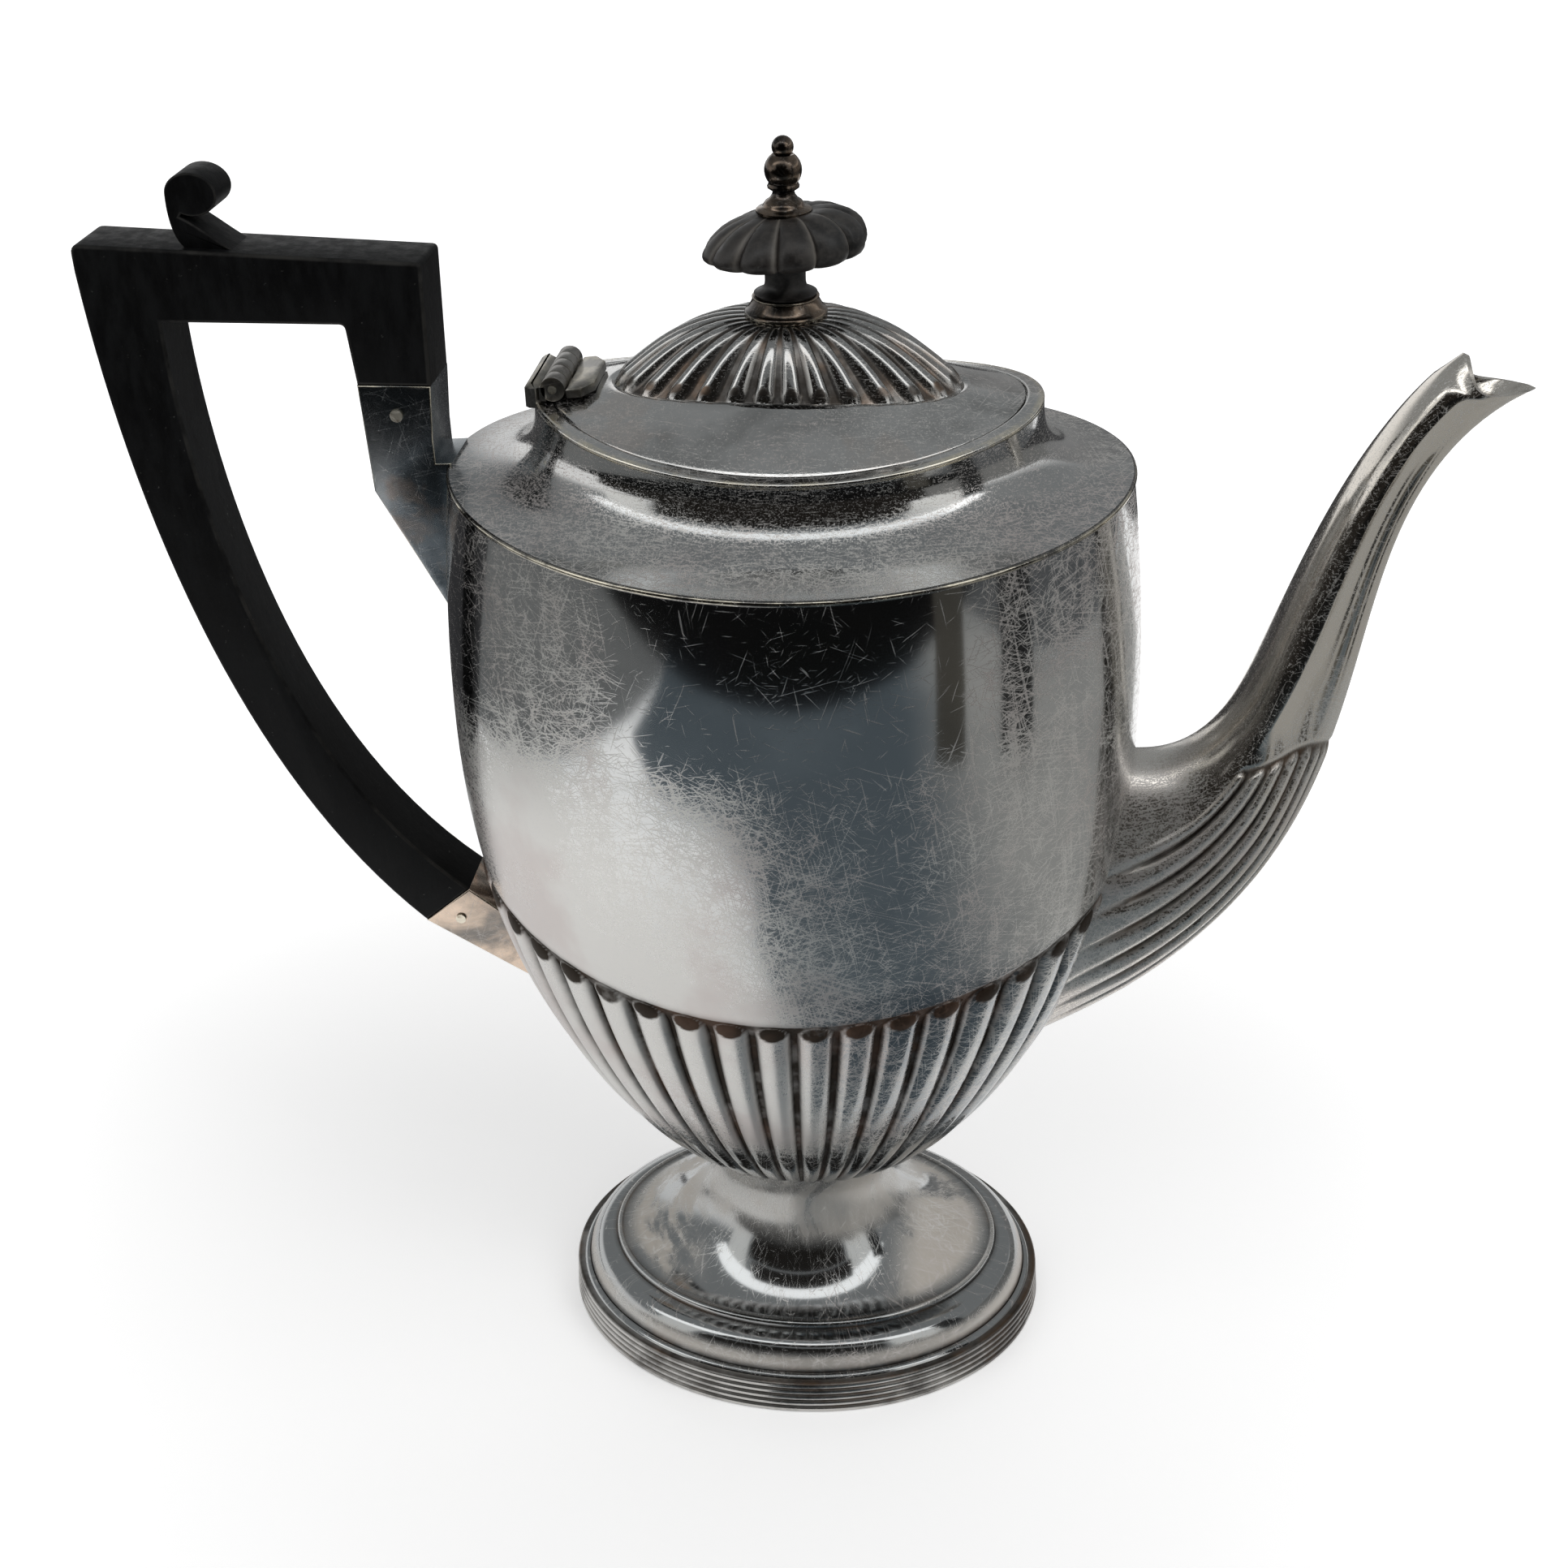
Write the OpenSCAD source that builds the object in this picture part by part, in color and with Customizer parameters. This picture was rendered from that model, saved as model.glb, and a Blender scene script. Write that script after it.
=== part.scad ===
// Oval half-fluted coffee pot on a stepped foot, with a hinged lid, a swan-neck spout
// and an angular wooden handle. Millimetres, +Z up, +X towards the spout.
// The origin is the bottom centre of the foot.

/* [Pot body] */
// Half length of the oval body at its upper rim
rim_half_length = 62.4; // [60:0.1:65]
// Half width of the oval body at its upper rim
rim_half_width = 50.6; // [48.5:0.1:52]
// Height of the upper rim at the two ends of the oval
rim_height = 201.1; // [196:0.1:206]
// How far the upper rim sinks from the ends to the middle of each side
rim_dip = 4.1; // [1:0.1:6]
// Half length of the body where it is fullest
belly_half_length = 66.3; // [65.2:0.1:68]
// Half width of the body where it is fullest
belly_half_width = 52.6; // [52:0.1:54]
// Height of the fullest place
belly_height = 150; // [140:1:160]
// Thickness of the body's wall
body_wall = 1.2; // [0.8:0.1:1.6]
// Number of flutes round the lower body
flute_count = 42; // [36:2:46]
// Depth of the grooves between the flutes
flute_depth = 1.4; // [0.6:0.1:2]
// Height of the flutes' tops at the two ends of the oval
flute_top_height = 120; // [112:1:128]
// How far the flutes' tops sink towards the middle of each side
flute_dip = 12; // [4:0.5:14]

/* [Foot] */
// Half length of the foot
foot_half_length = 52.9; // [48:0.1:58]
// Half width of the foot
foot_half_width = 42; // [38:0.1:46]
// Height of the reeded rim under the foot
foot_rim_height = 7.9; // [6:0.1:9]
// Number of reeds on the rim
foot_reeds = 5; // [3:1:6]
// Depth of the grooves between the reeds
reed_depth = 0.5; // [0.2:0.05:0.8]
// Distance from the foot's edge in to the ridge of its step
foot_ridge_inset = 10.4; // [8:0.1:12]
// Height of the foot, up to the seat of the body
foot_height = 43.5; // [40:0.5:46]
// Half length of the foot's neck where it is thinnest
neck_half_length = 17.8; // [15:0.1:19]
// Half width of the foot's neck where it is thinnest
neck_half_width = 15.4; // [12:0.1:17]
// Half length of the seat between foot and body
seat_half_length = 20.5; // [19.5:0.1:22]
// Half width of the seat between foot and body
seat_half_width = 16.2; // [15:0.1:17]
// Thickness of the foot's sheet
foot_sheet = 1.2; // [0.8:0.1:1.6]

/* [Shoulder and collar] */
// Half length of the collar's bezel
collar_half_length = 45.9; // [44:0.1:48]
// Half width of the collar's bezel
collar_half_width = 32.5; // [31:0.1:34]
// Height of the bezel at the two ends of the oval
collar_height = 214.6; // [211:0.1:218]
// How far the bezel sinks towards the middle of each side
collar_dip = 4.8; // [2:0.1:6]
// Width of the flat bezel
bezel_width = 3; // [2.4:0.1:4]
// Depth of the recess that holds the lid
bezel_recess = 1.6; // [1.4:0.1:2.4]
// Width of the ledge under the lid's edge
ledge_width = 1; // [0.6:0.1:1.4]
// Thickness of the shoulder's sheet
shoulder_sheet = 1; // [0.8:0.1:1.4]

/* [Lid] */
// Gap all round the lid's edge
lid_gap = 0.3; // [0.25:0.05:0.6]
// Thickness of the lid's sheet
lid_sheet = 0.9; // [0.7:0.1:1.1]
// Half length of the lid's fluted dome
dome_half_length = 31.5; // [29:0.1:34]
// Half width of the lid's fluted dome
dome_half_width = 16.5; // [15:0.1:18]
// Height of the dome's top above the bezel's ends
dome_rise = 14; // [12:0.1:16]
// Height of the dome's edge above the bezel at the two ends
dome_edge_rise = 1.6; // [1:0.1:2.5]
// How much higher the dome's edge stands at the middle of each side
dome_edge_lift = 2.2; // [0:0.1:4]
// Number of flutes on the lid
lid_flute_count = 28; // [24:2:32]
// Depth of the grooves between the lid's flutes
lid_flute_depth = 0.8; // [0.3:0.05:1]
// Depth of the flange that hangs inside the collar
flange_depth = 5; // [3:0.1:7]
// Clearance between the flange and the ledge
flange_clearance = 0.7; // [0.5:0.1:1]

/* [Lid hinge] */
// Distance of the hinge's axis inside the collar's left end
hinge_inset = 4.8; // [4.4:0.1:5.2]
// Length of the hinge's barrel
hinge_length = 17.2; // [14:0.1:20]
// Radius of the knuckles
knuckle_radius = 1.9; // [1.7:0.05:2.1]
// Radius of the hinge pin
hinge_pin_radius = 0.8; // [0.6:0.05:1]
// Radial running clearance of the hinge pin
hinge_clearance = 0.05; // [0.03:0.01:0.08]
// Gap between neighbouring knuckles
knuckle_gap = 0.3; // [0.25:0.05:0.5]
// Clearance between the barrel and the lid's edge below it
hinge_lift = 0.4; // [0.35:0.05:0.6]
// Reach of the shield-shaped lid leaf from the axis
lid_leaf_reach = 7.2; // [6:0.1:9]
// Thickness of the hinge's leaves
leaf_thickness = 1.2; // [0.9:0.1:1.5]

/* [Knob] */
// Radius of the knob's metal collar at its foot
knob_base_radius = 7; // [6.4:0.1:7.4]
// Height of the knob's metal collar
knob_base_height = 3.6; // [3:0.1:4.5]
// Radius of the wooden stem
knob_stem_radius = 3.6; // [3:0.1:4.2]
// Height of the wooden stem below the cap
knob_stem_height = 6.6; // [5:0.1:8]
// Half length of the wooden cap
knob_half_length = 14.5; // [12:0.1:15]
// Half width of the wooden cap
knob_half_width = 12.7; // [11:0.1:14]
// Height of the wooden cap
knob_cap_height = 7.8; // [6.5:0.1:9]
// Number of lobes round the wooden cap
knob_lobes = 12; // [8:1:14]
// Depth of the grooves between the lobes
knob_lobe_depth = 0.9; // [0.3:0.1:1.4]
// Rise of the cap's top towards the spout
knob_cap_lean = 2.1; // [0:0.1:2.5]
// Height of the metal finial above the wood
finial_height = 12.9; // [11:0.1:14]
// Radius of the finial's flange
finial_radius = 4.85; // [4:0.05:5.2]
// Radius of the screw shank through the knob
shank_radius = 1.25; // [1:0.05:1.5]
// Clearance of the fixed pins and screws in their holes
fixed_clearance = 0.03; // [0.02:0.01:0.05]
// Width of the knob's nut across its corners
nut_width = 6.4; // [5.6:0.1:7]
// Thickness of the knob's nut
nut_height = 2.2; // [1.8:0.1:2.6]
// Radius of the washer above the nut
washer_radius = 4.5; // [4:0.1:5.2]
// Thickness of the washer
washer_height = 0.6; // [0.5:0.1:0.9]

/* [Handle] */
// Distance of the handle's back from the pot's axis
handle_reach = 126.7; // [122:0.1:132]
// Height of the handle's top
handle_top = 241.3; // [238:0.1:246]
// Thickness of the wooden grip from side to side
handle_thickness = 12.9; // [11:0.1:15]
// Depth of the grip's upright at its top
grip_depth = 14.5; // [12:0.1:17]
// Depth of the bar across the top
bar_depth = 14; // [12:0.1:16]
// Fall of the bar towards the pot
bar_fall = 2.6; // [1:0.1:4]
// Width of the arm that turns down to the upper socket
arm_width = 13.6; // [12:0.1:15]
// Gap between the upper socket's arm and the body's rim
arm_gap = 1.5; // [0.8:0.1:3]
// Height of the joint between the arm and the upper socket
arm_joint_height = 216.2; // [213:0.1:219]
// Height of the joint's middle at the lower socket
low_joint_height = 103.5; // [100:0.1:108]
// Distance of the lower joint from the pot's axis
low_joint_reach = 72.5; // [71:0.1:76]
// Thickness of the sockets' walls
socket_wall = 1.3; // [1:0.1:1.8]
// Clearance round the wooden tenons
tenon_clearance = 0.1; // [0.05:0.01:0.2]
// Length of the tenon in the upper socket
upper_tenon_length = 11; // [9:0.1:12]
// Length of the tenon in the lower socket
lower_tenon_length = 8; // [6:0.1:9]
// Radius of the upper handle pin
upper_pin_radius = 1.2; // [0.9:0.05:1.5]
// Radius of the lower handle pin
lower_pin_radius = 1.05; // [0.8:0.05:1.3]
// Length of the upper socket's tail below the rim
upper_socket_tail = 28.6; // [24:0.1:32]
// Distance of the upper socket's elbow below the rim
upper_socket_elbow = 5.4; // [4:0.1:8]
// Length of the lower socket's root along the body
lower_socket_root = 16; // [12:0.1:18]
// Half length of the thumb scroll's roll
scroll_radius = 4.7; // [4:0.1:5.2]
// Half height of the thumb scroll's roll
scroll_half_height = 3.8; // [3.2:0.1:4.6]
// Height of the roll's middle above the bar
scroll_height = 8.4; // [7.6:0.1:10]
// Distance of the roll's middle from the handle's back
scroll_setback = 22.6; // [18:0.1:30]
// Width of the scroll from side to side
scroll_width = 8.6; // [8:0.1:11]

/* [Spout] */
// Distance of the spout's lip from the pot's axis
spout_reach = 130; // [126:0.1:134]
// Height of the spout's lip
spout_lip_height = 217.3; // [212:0.1:222]
// Rise of the tongue behind the lip
tongue_rise = 6; // [3:0.1:7]
// Length of the open mouth
mouth_length = 13; // [10:0.1:15]
// Half width of the mouth
mouth_half_width = 5.2; // [4.6:0.1:6.5]
// Height where the spout's underside meets the body
spout_root_low = 74.8; // [72:0.1:80]
// Height where the spout's back meets the body
spout_root_high = 142.2; // [138:0.1:146]
// Half width of the spout where it meets the body
spout_root_half_width = 15; // [13:0.1:17]
// Share of the spout's length that is reeded, from the body up
spout_reeded_share = 0.43; // [0.3:0.01:0.5]
// Depth of the grooves between the spout's reeds
spout_reed_depth = 0.5; // [0.2:0.05:0.6]
// Thickness of the spout's wall
spout_wall = 1.1; // [1:0.1:1.3]
// Thickness of the strainer plate behind the spout
strainer_thickness = 0.8; // [0.6:0.1:1.2]
// Radius of the strainer's holes
strainer_hole_radius = 1; // [0.7:0.05:1.2]
// Distance between the strainer's holes
strainer_pitch = 3.6; // [3.2:0.1:5]

/* [Hidden] */

silver = [0.72, 0.73, 0.74];
worn_silver = [0.66, 0.64, 0.6];
black_wood = [0.07, 0.07, 0.075];
dull_metal = [0.36, 0.34, 0.32];

// Facets round the ovals: two for each flute, so that one crest and one groove fit
oval_sides = 2 * flute_count;
foot_sides = 60;
lid_sides = 3 * lid_flute_count;
spout_sides = 48;
// Depth by which soldered pieces reach into the wall they sit on
solder_depth = 0.5;
cut = 1;

// Body profile
base_half_length = seat_half_length + 3.5;
base_half_width = seat_half_width + 2;
bowl_power = 2.1;
bowl_root = 0.814;
body_top = rim_height - 0.6;

// Lid and collar
mouth_half_l = collar_half_length - bezel_width;
mouth_half_w = collar_half_width - bezel_width;
lid_half_length = mouth_half_l - lid_gap;
lid_half_width = mouth_half_w - lid_gap;
ledge_half_l = mouth_half_l - ledge_width;
ledge_half_w = mouth_half_w - ledge_width;
dome_top = collar_height + dome_rise;

// Hinge
hinge_x = hinge_inset - collar_half_length;
hinge_z = collar_height + knuckle_radius + hinge_lift;
knuckles = 5;
knuckle_length = (hinge_length - (knuckles - 1) * knuckle_gap) / knuckles;

// Knob
knob_stem_z = dome_top + knob_base_height;
knob_cap_z = knob_stem_z + knob_stem_height;
finial_z = knob_cap_z + knob_cap_height;

// Handle
arm_right = -(rim_half_length + arm_gap);
arm_left = arm_right - arm_width;
bar_right_top = handle_top - bar_fall;
bar_overhang = 0.7;
low_joint = [-low_joint_reach, low_joint_height];
low_cut_angle = 40;
low_joint_width = 12.8;
low_tenon_angle = low_cut_angle - 90;
tenon_inset = socket_wall + 0.6;
upper_pin_at = [(arm_left + arm_right) / 2, arm_joint_height - upper_tenon_length / 2];
lower_pin_at = low_joint + (lower_tenon_length / 2) * [cos(low_tenon_angle), sin(low_tenon_angle)];
pin_head = 0.5;

// ---- Shared shapes ----

// Turns an even step round an oval into the angle that keeps equal lengths along its edge
function even_angle(s, l, w) = s + (l * l - w * w) / (4 * (l * l + w * w)) * (180 / PI) * sin(2 * s);

// Oval of half length l and half width w whose ends stand at z and whose middle sinks by dip
function oval(l, w, z, dip = 0, n = oval_sides) =
    [for (i = [0:n - 1]) let (t = 360 * i / n) [l * cos(t), w * sin(t), z - dip * pow(sin(t), 2)]];

// Blend from a to b
function mix(a, b, u) = a + (b - a) * u;

// Point at u on the smooth curve with the control points p
function curve(p, u) =
    len(p) == 1 ? p[0] : curve([for (i = [0:len(p) - 2]) (1 - u) * p[i] + u * p[i + 1]], u);

// Nine points along a curve
function curve_points(p) = [for (i = [0:8]) curve(p, i / 8)];

function join_lists(lists) = [for (l = lists) for (p = l) p];

function band(n, low, high) =
    [for (j = [0:n - 1]) let (k = (j + 1) % n) [low * n + j, high * n + j, high * n + k, low * n + k]];

// Closed skin over rings of equal count: the rings run up the outside and down the inside
module ring_skin(rings) {
    n = len(rings[0]);
    m = len(rings);
    faces = join_lists([for (i = [0:m - 1]) band(n, i, (i + 1) % m)]);
    polyhedron(points = join_lists(rings), faces = faces);
}

// Solid skin over rings that rise, closed by flat caps
module capped_skin(rings) {
    n = len(rings[0]);
    m = len(rings);
    walls = join_lists([for (i = [0:m - 2]) band(n, i, i + 1)]);
    caps = [[for (j = [0:n - 1]) j], [for (j = [n - 1:-1:0]) (m - 1) * n + j]];
    polyhedron(points = join_lists(rings), faces = concat(walls, caps));
}

// Extrudes an outline drawn in X and Z evenly to both sides of the pot's middle plane
module slab(width) {
    translate([0, width / 2, 0]) rotate([90, 0, 0]) linear_extrude(width) children();
}

// Round bar across the middle plane at [x, z]
module cross_pin(at, r, length) {
    translate([at[0], length / 2, at[1]]) rotate([90, 0, 0]) cylinder(r = r, h = length, $fn = 32);
}

// ---- Pot body ----

// Half size of the body at height z, from its values at the base, the belly and the rim
function body_half(z, base, belly, rim) =
    z < belly_height
        ? let (fall = (belly_height - max(z, foot_height)) / (belly_height - foot_height))
            base + (belly - base) * pow(max(0, 1 - pow(fall, bowl_power)), bowl_root)
        : belly - (belly - rim) * pow((z - belly_height) / (rim_height - belly_height), 2);

function body_l(z) = body_half(z, base_half_length, belly_half_length, rim_half_length);
function body_w(z) = body_half(z, base_half_width, belly_half_width, rim_half_width);

// Distance of the body's surface from the middle of the pot along X, at y and z
function body_x(y, z) = body_l(z) * sqrt(1 - pow(y / body_w(z), 2));

// How far the horizontal lines of the body sink at the middle of each side
function body_dip(z) =
    z < flute_top_height
        ? flute_dip * pow((z - foot_height) / (flute_top_height - foot_height), 2)
        : mix(flute_dip, rim_dip, (z - flute_top_height) / (body_top - flute_top_height));

// Share of the full groove depth at height z
function flute_share(z) =
    z >= flute_top_height ? 0 : min(1, (z - foot_height) / 8, (flute_top_height - z) / 6);

// One ring of the body; inner rings lie inside the wall and have no flutes
function body_ring(z, inner) =
    [for (i = [0:oval_sides - 1])
        let (t = even_angle(360 * i / oval_sides, belly_half_length, belly_half_width),
            h = z - body_dip(z) * pow(sin(t), 2),
            groove = flute_depth * flute_share(z),
            inset = inner ? body_wall + groove : (i % 2 == 0 ? groove : 0))
        [(body_l(h) - inset) * cos(t), (body_w(h) - inset) * sin(t), h]];

// Rows and reach of the window that opens the body into the spout
window_rows = [for (u = [0.25, 0.455, 0.66]) mix(spout_root_low, spout_root_high, u)];
window_reach = 2;

module body_shell() {
    low_rows = [for (u = [0, 0.14, 0.34, 0.62]) mix(foot_height + 1.8, window_rows[0] - 4, u)];
    high_rows = [flute_top_height + 1, belly_height, mix(belly_height, body_top, 0.4),
        mix(belly_height, body_top, 0.75), body_top];
    window_top = window_rows[2] > flute_top_height ? [] : [flute_top_height - 0.5];
    outer_rows = concat(low_rows, window_rows, window_top, high_rows);
    inner_rows = concat([body_top, mix(belly_height, body_top, 0.5), belly_height],
        [window_rows[2], window_rows[1], window_rows[0]], [low_rows[2], low_rows[0] + body_wall]);
    seat = oval(seat_half_length, seat_half_width, foot_height);
    rings = concat([seat], [for (z = outer_rows) body_ring(z, false)],
        [for (z = inner_rows) body_ring(z, true)]);
    n = oval_sides;
    m = len(rings);
    first = 1 + len(low_rows);
    inside = 1 + len(outer_rows) + 5;
    function in_window(row, j) =
        (row == first || row == first + 1 || row == inside - 2 || row == inside - 1)
            && (j < window_reach || j >= n - window_reach);
    walls = [for (i = [0:m - 2]) for (j = [0:n - 1]) let (k = (j + 1) % n)
        if (!in_window(i, j)) [i * n + j, (i + 1) * n + j, (i + 1) * n + k, i * n + k]];
    caps = [[for (j = [0:n - 1]) j], [for (j = [n - 1:-1:0]) (m - 1) * n + j]];
    function at(row, j) = row * n + (j + n) % n;
    sills = join_lists([for (j = [-window_reach:window_reach - 1])
        [[at(first, j + 1), at(first, j), at(inside, j), at(inside, j + 1)],
        [at(first + 2, j), at(first + 2, j + 1), at(inside - 2, j + 1), at(inside - 2, j)]]]);
    jambs = join_lists([for (r = [0, 1]) let (near = -window_reach, far = window_reach)
        [[at(first + r, near), at(first + r + 1, near), at(inside - r - 1, near), at(inside - r, near)],
        [at(first + r, far), at(inside - r, far), at(inside - r - 1, far), at(first + r + 1, far)]]]);
    color(silver) polyhedron(points = join_lists(rings), faces = concat(walls, caps, sills, jambs));
}

// Sheet that sweeps up from the rim to the collar in a hollow curve
module shoulder_cover() {
    steps = 6;
    function sweep(u, inset, drop) = let (side = pow(1 - u, 2.2), lift = pow(u, 1.9))
        oval(mix(collar_half_length, rim_half_length, side) - inset,
            mix(collar_half_width, rim_half_width, side) - inset,
            mix(rim_height, collar_height - shoulder_sheet, lift) - drop, mix(rim_dip, collar_dip, u));
    bottom = [for (inset = [shoulder_sheet, 0.2])
        oval(rim_half_length - inset, rim_half_width - inset, body_top, rim_dip)];
    outer = [for (i = [1:steps]) sweep(i / steps, 0, 0)];
    inner = [for (i = [steps:-1:1]) sweep(i / steps, shoulder_sheet, i == steps ? 0 : shoulder_sheet)];
    color(silver) ring_skin(concat(bottom, outer, inner));
}

// Narrow wire that covers the seam between body and shoulder
module rim_wire() color(worn_silver) {
    r = 0.6;
    ring_skin([for (a = [-90:60:210])
        oval(rim_half_length + r * cos(a), rim_half_width + r * cos(a), body_top + r * sin(a), rim_dip)]);
}

// Flat oval bezel with a recess and a ledge that carry the lid's edge
module collar_bezel() {
    function edge(inset, drop) =
        oval(collar_half_length - inset, collar_half_width - inset, collar_height - drop, collar_dip);
    inner = bezel_width + ledge_width;
    color(silver) ring_skin([edge(inner, bezel_recess + shoulder_sheet), edge(0.2, shoulder_sheet),
        edge(0, shoulder_sheet / 2), edge(0.4, 0), edge(bezel_width, 0), edge(bezel_width, bezel_recess),
        edge(inner, bezel_recess)]);
}

// ---- Foot ----

foot_edge_inset = 2;
foot_rim_width = 6;
ridge_height = 2 * foot_rim_height + 0.4;
ridge_half_l = foot_half_length - foot_ridge_inset;
ridge_half_w = foot_half_width - foot_ridge_inset;

// Hollow foot: stepped moulding, then a trumpet that narrows to the neck
module foot() {
    steps = 7;
    function moulding(inset, z) = oval(foot_half_length - inset, foot_half_width - inset, z, 0, foot_sides);
    function trumpet(u, sheet) = let (side = pow(1 - u, 2))
        oval(mix(neck_half_length, ridge_half_l - 1, side) - sheet,
            mix(neck_half_width, ridge_half_w - 1, side) - sheet,
            mix(ridge_height - 0.4, 0.85 * foot_height, pow(u, 1.25)) - sheet * (1 - u), 0, foot_sides);
    function step(share, lift) =
        moulding(share * foot_ridge_inset, mix(foot_rim_height, ridge_height, lift));
    outer = concat([moulding(foot_edge_inset, foot_rim_height), step(0.32, 0.06), step(0.4, 0.42),
        step(0.54, 0.66), step(0.74, 0.8), step(0.94, 0.84), step(1, 1)],
        [for (i = [0:steps]) trumpet(i / steps, 0)]);
    seat = [for (inset = [0, 4 * foot_sheet])
        oval(seat_half_length - inset, seat_half_width - inset, foot_height, 0, foot_sides)];
    inside = mix(foot_rim_height, ridge_height, 0.66) - foot_sheet;
    inner = concat([for (u = [1, 0.8, 0.6, 0.4, 0.2, 0]) trumpet(u, foot_sheet)],
        [moulding(0.7 * foot_ridge_inset + foot_sheet, inside),
        moulding(foot_edge_inset + 3 * foot_sheet, foot_rim_height)]);
    color(silver) ring_skin(concat(outer, seat, inner));
}

// Reeded rim on which the pot stands
module foot_rim() color(silver) {
    reed = foot_rim_height / foot_reeds;
    reeds = join_lists([for (i = [0:foot_reeds - 1]) let (taper = 0.2 * i * reed_depth)
        [[taper + reed_depth, (i + 0.08) * reed], [taper, (i + 0.5) * reed]]]);
    outline = concat([[foot_rim_width, 0], [reed_depth, 0]], reeds,
        [[foot_edge_inset, foot_rim_height], [foot_rim_width, foot_rim_height]]);
    ring_skin([for (p = outline)
        oval(foot_half_length - p[0], foot_half_width - p[0], p[1], 0, foot_sides)]);
}

// ---- Spout ----

root_low = [body_x(0, spout_root_low) - solder_depth, spout_root_low];
root_high = [body_x(0, spout_root_high) - solder_depth, spout_root_high];
lip = [spout_reach, spout_lip_height];
tongue = [spout_reach - mouth_length, spout_lip_height + tongue_rise];

// Point that lies at the given shares of the way from one point to another, along X and along Z
function stretch(from, to, share) = [mix(from[0], to[0], share[0]), mix(from[1], to[1], share[1])];

// Curve between two points whose inner control points are given as shares of the way
function stretched(from, to, shares) = concat([from], [for (s = shares) stretch(from, to, s)], [to]);

front_curve = stretched(root_low, lip, [[0.63, 0.22], [0.74, 0.46], [0.71, 0.67], [0.66, 0.89]]);
back_curve = stretched(root_high, tongue, [[0.39, -0.01], [0.43, 0.21], [0.5, 0.56], [0.745, 0.87]]);

// Half width of the upper neck from its back (-1) over the side crease to the nose at its front (1)
neck_crease = cos(105);
neck_nose = cos(60);
nose_share = 0.55;
function neck_side(a) =
    a < neck_crease ? sqrt(1 - pow((neck_crease - a) / (1 + neck_crease), 2))
    : a < neck_nose ? mix(nose_share, 1, pow((neck_nose - a) / (neck_nose - neck_crease), 2.2))
    : nose_share * sqrt(1 - pow((a - neck_nose) / (1 - neck_nose), 2));

// Half width of the mouth, which narrows from its widest place forward to the lip
mouth_wide = cos(120);
function mouth_side(a) =
    a < mouth_wide ? sqrt(1 - pow((mouth_wide - a) / (1 + mouth_wide), 2))
    : pow(1 - pow((a - mouth_wide) / (1 - mouth_wide), 2), 0.8);

// Smooth change from 0 to 1 while x runs from low to high
function ease(low, high, x) = let (u = max(0, min(1, (x - low) / (high - low)))) u * u * (3 - 2 * u);

// Ring of the spout at u, from the body (0) to the mouth (1), with reeds on its lower front
function spout_ring(u, wall) =
    let (front = curve(front_curve, u), back = curve(back_curve, u), reach = norm(front - back) / 2,
        neck = ease(spout_reeded_share - 0.02, spout_reeded_share + 0.02, u), open = ease(0.8, 1, u),
        side = mix(mouth_half_width, spout_root_half_width, pow(1 - u, 1.3)) - wall)
    [for (i = [0:spout_sides - 1])
        let (t = 360 * i / spout_sides, a = cos(t),
            share = mix(mix(abs(sin(t)), neck_side(a), neck), mouth_side(a), open),
            reed = (wall == 0 && a > -0.1 && u < spout_reeded_share)
                ? (i % 2 == 0 ? 0.5 : -0.5) * spout_reed_depth * min(1, 8 * u) : 0,
            p = (front + back) / 2 + (front - back) / 2 * a * (reach - wall + reed) / reach,
            y = sign(sin(t)) * share * (side + reed), rest = (1 - a) / 2,
            sag = u == 1 ? tongue_rise * rest * (1 - pow(rest, 8)) : 0)
        u == 0 ? [body_x(y, p[1]) - solder_depth, y, p[1]] : [p[0], y, p[1] - sag]];

// Swan-neck spout, open at both ends
module spout() color(silver) {
    stations = [0, 0.06, 0.13, 0.2, 0.27, 0.34, 0.4, 0.46, 0.54, 0.62, 0.7, 0.78, 0.86, 0.93, 1];
    last = len(stations) - 1;
    outer = [for (i = [last:-1:0]) spout_ring(stations[i], 0)];
    inner = [for (i = [0:last]) spout_ring(stations[i], spout_wall)];
    ring_skin(concat(outer, inner));
}

// Pierced plate inside the body, behind the window that feeds the spout
module spout_strainer() color(worn_silver) {
    low = window_rows[0];
    high = window_rows[2];
    half_y = body_w(low) * sin(360 * window_reach / oval_sides) + 2;
    deep = body_wall + flute_depth + 0.15;
    foot_point = [body_x(half_y, low - 2) - deep, low - 2];
    head_point = [body_x(half_y, high + 2) - deep, high + 2];
    rise = head_point - foot_point;
    height = norm(rise);
    lean = atan2(rise[0], rise[1]);
    rows = floor((height - 6) / strainer_pitch / 2);
    columns = floor((half_y - 3) / strainer_pitch);
    translate([foot_point[0], 0, foot_point[1]]) rotate([0, lean, 0]) difference() {
        translate([-strainer_thickness, -half_y, 0]) cube([strainer_thickness, 2 * half_y, height]);
        for (i = [-rows:rows]) for (j = [-columns:columns])
            translate([-strainer_thickness - cut, j * strainer_pitch, height / 2 + i * strainer_pitch])
                rotate([0, 90, 0])
                    cylinder(r = strainer_hole_radius, h = strainer_thickness + 2 * cut, $fn = 24);
    }
}

// ---- Handle ----

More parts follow.
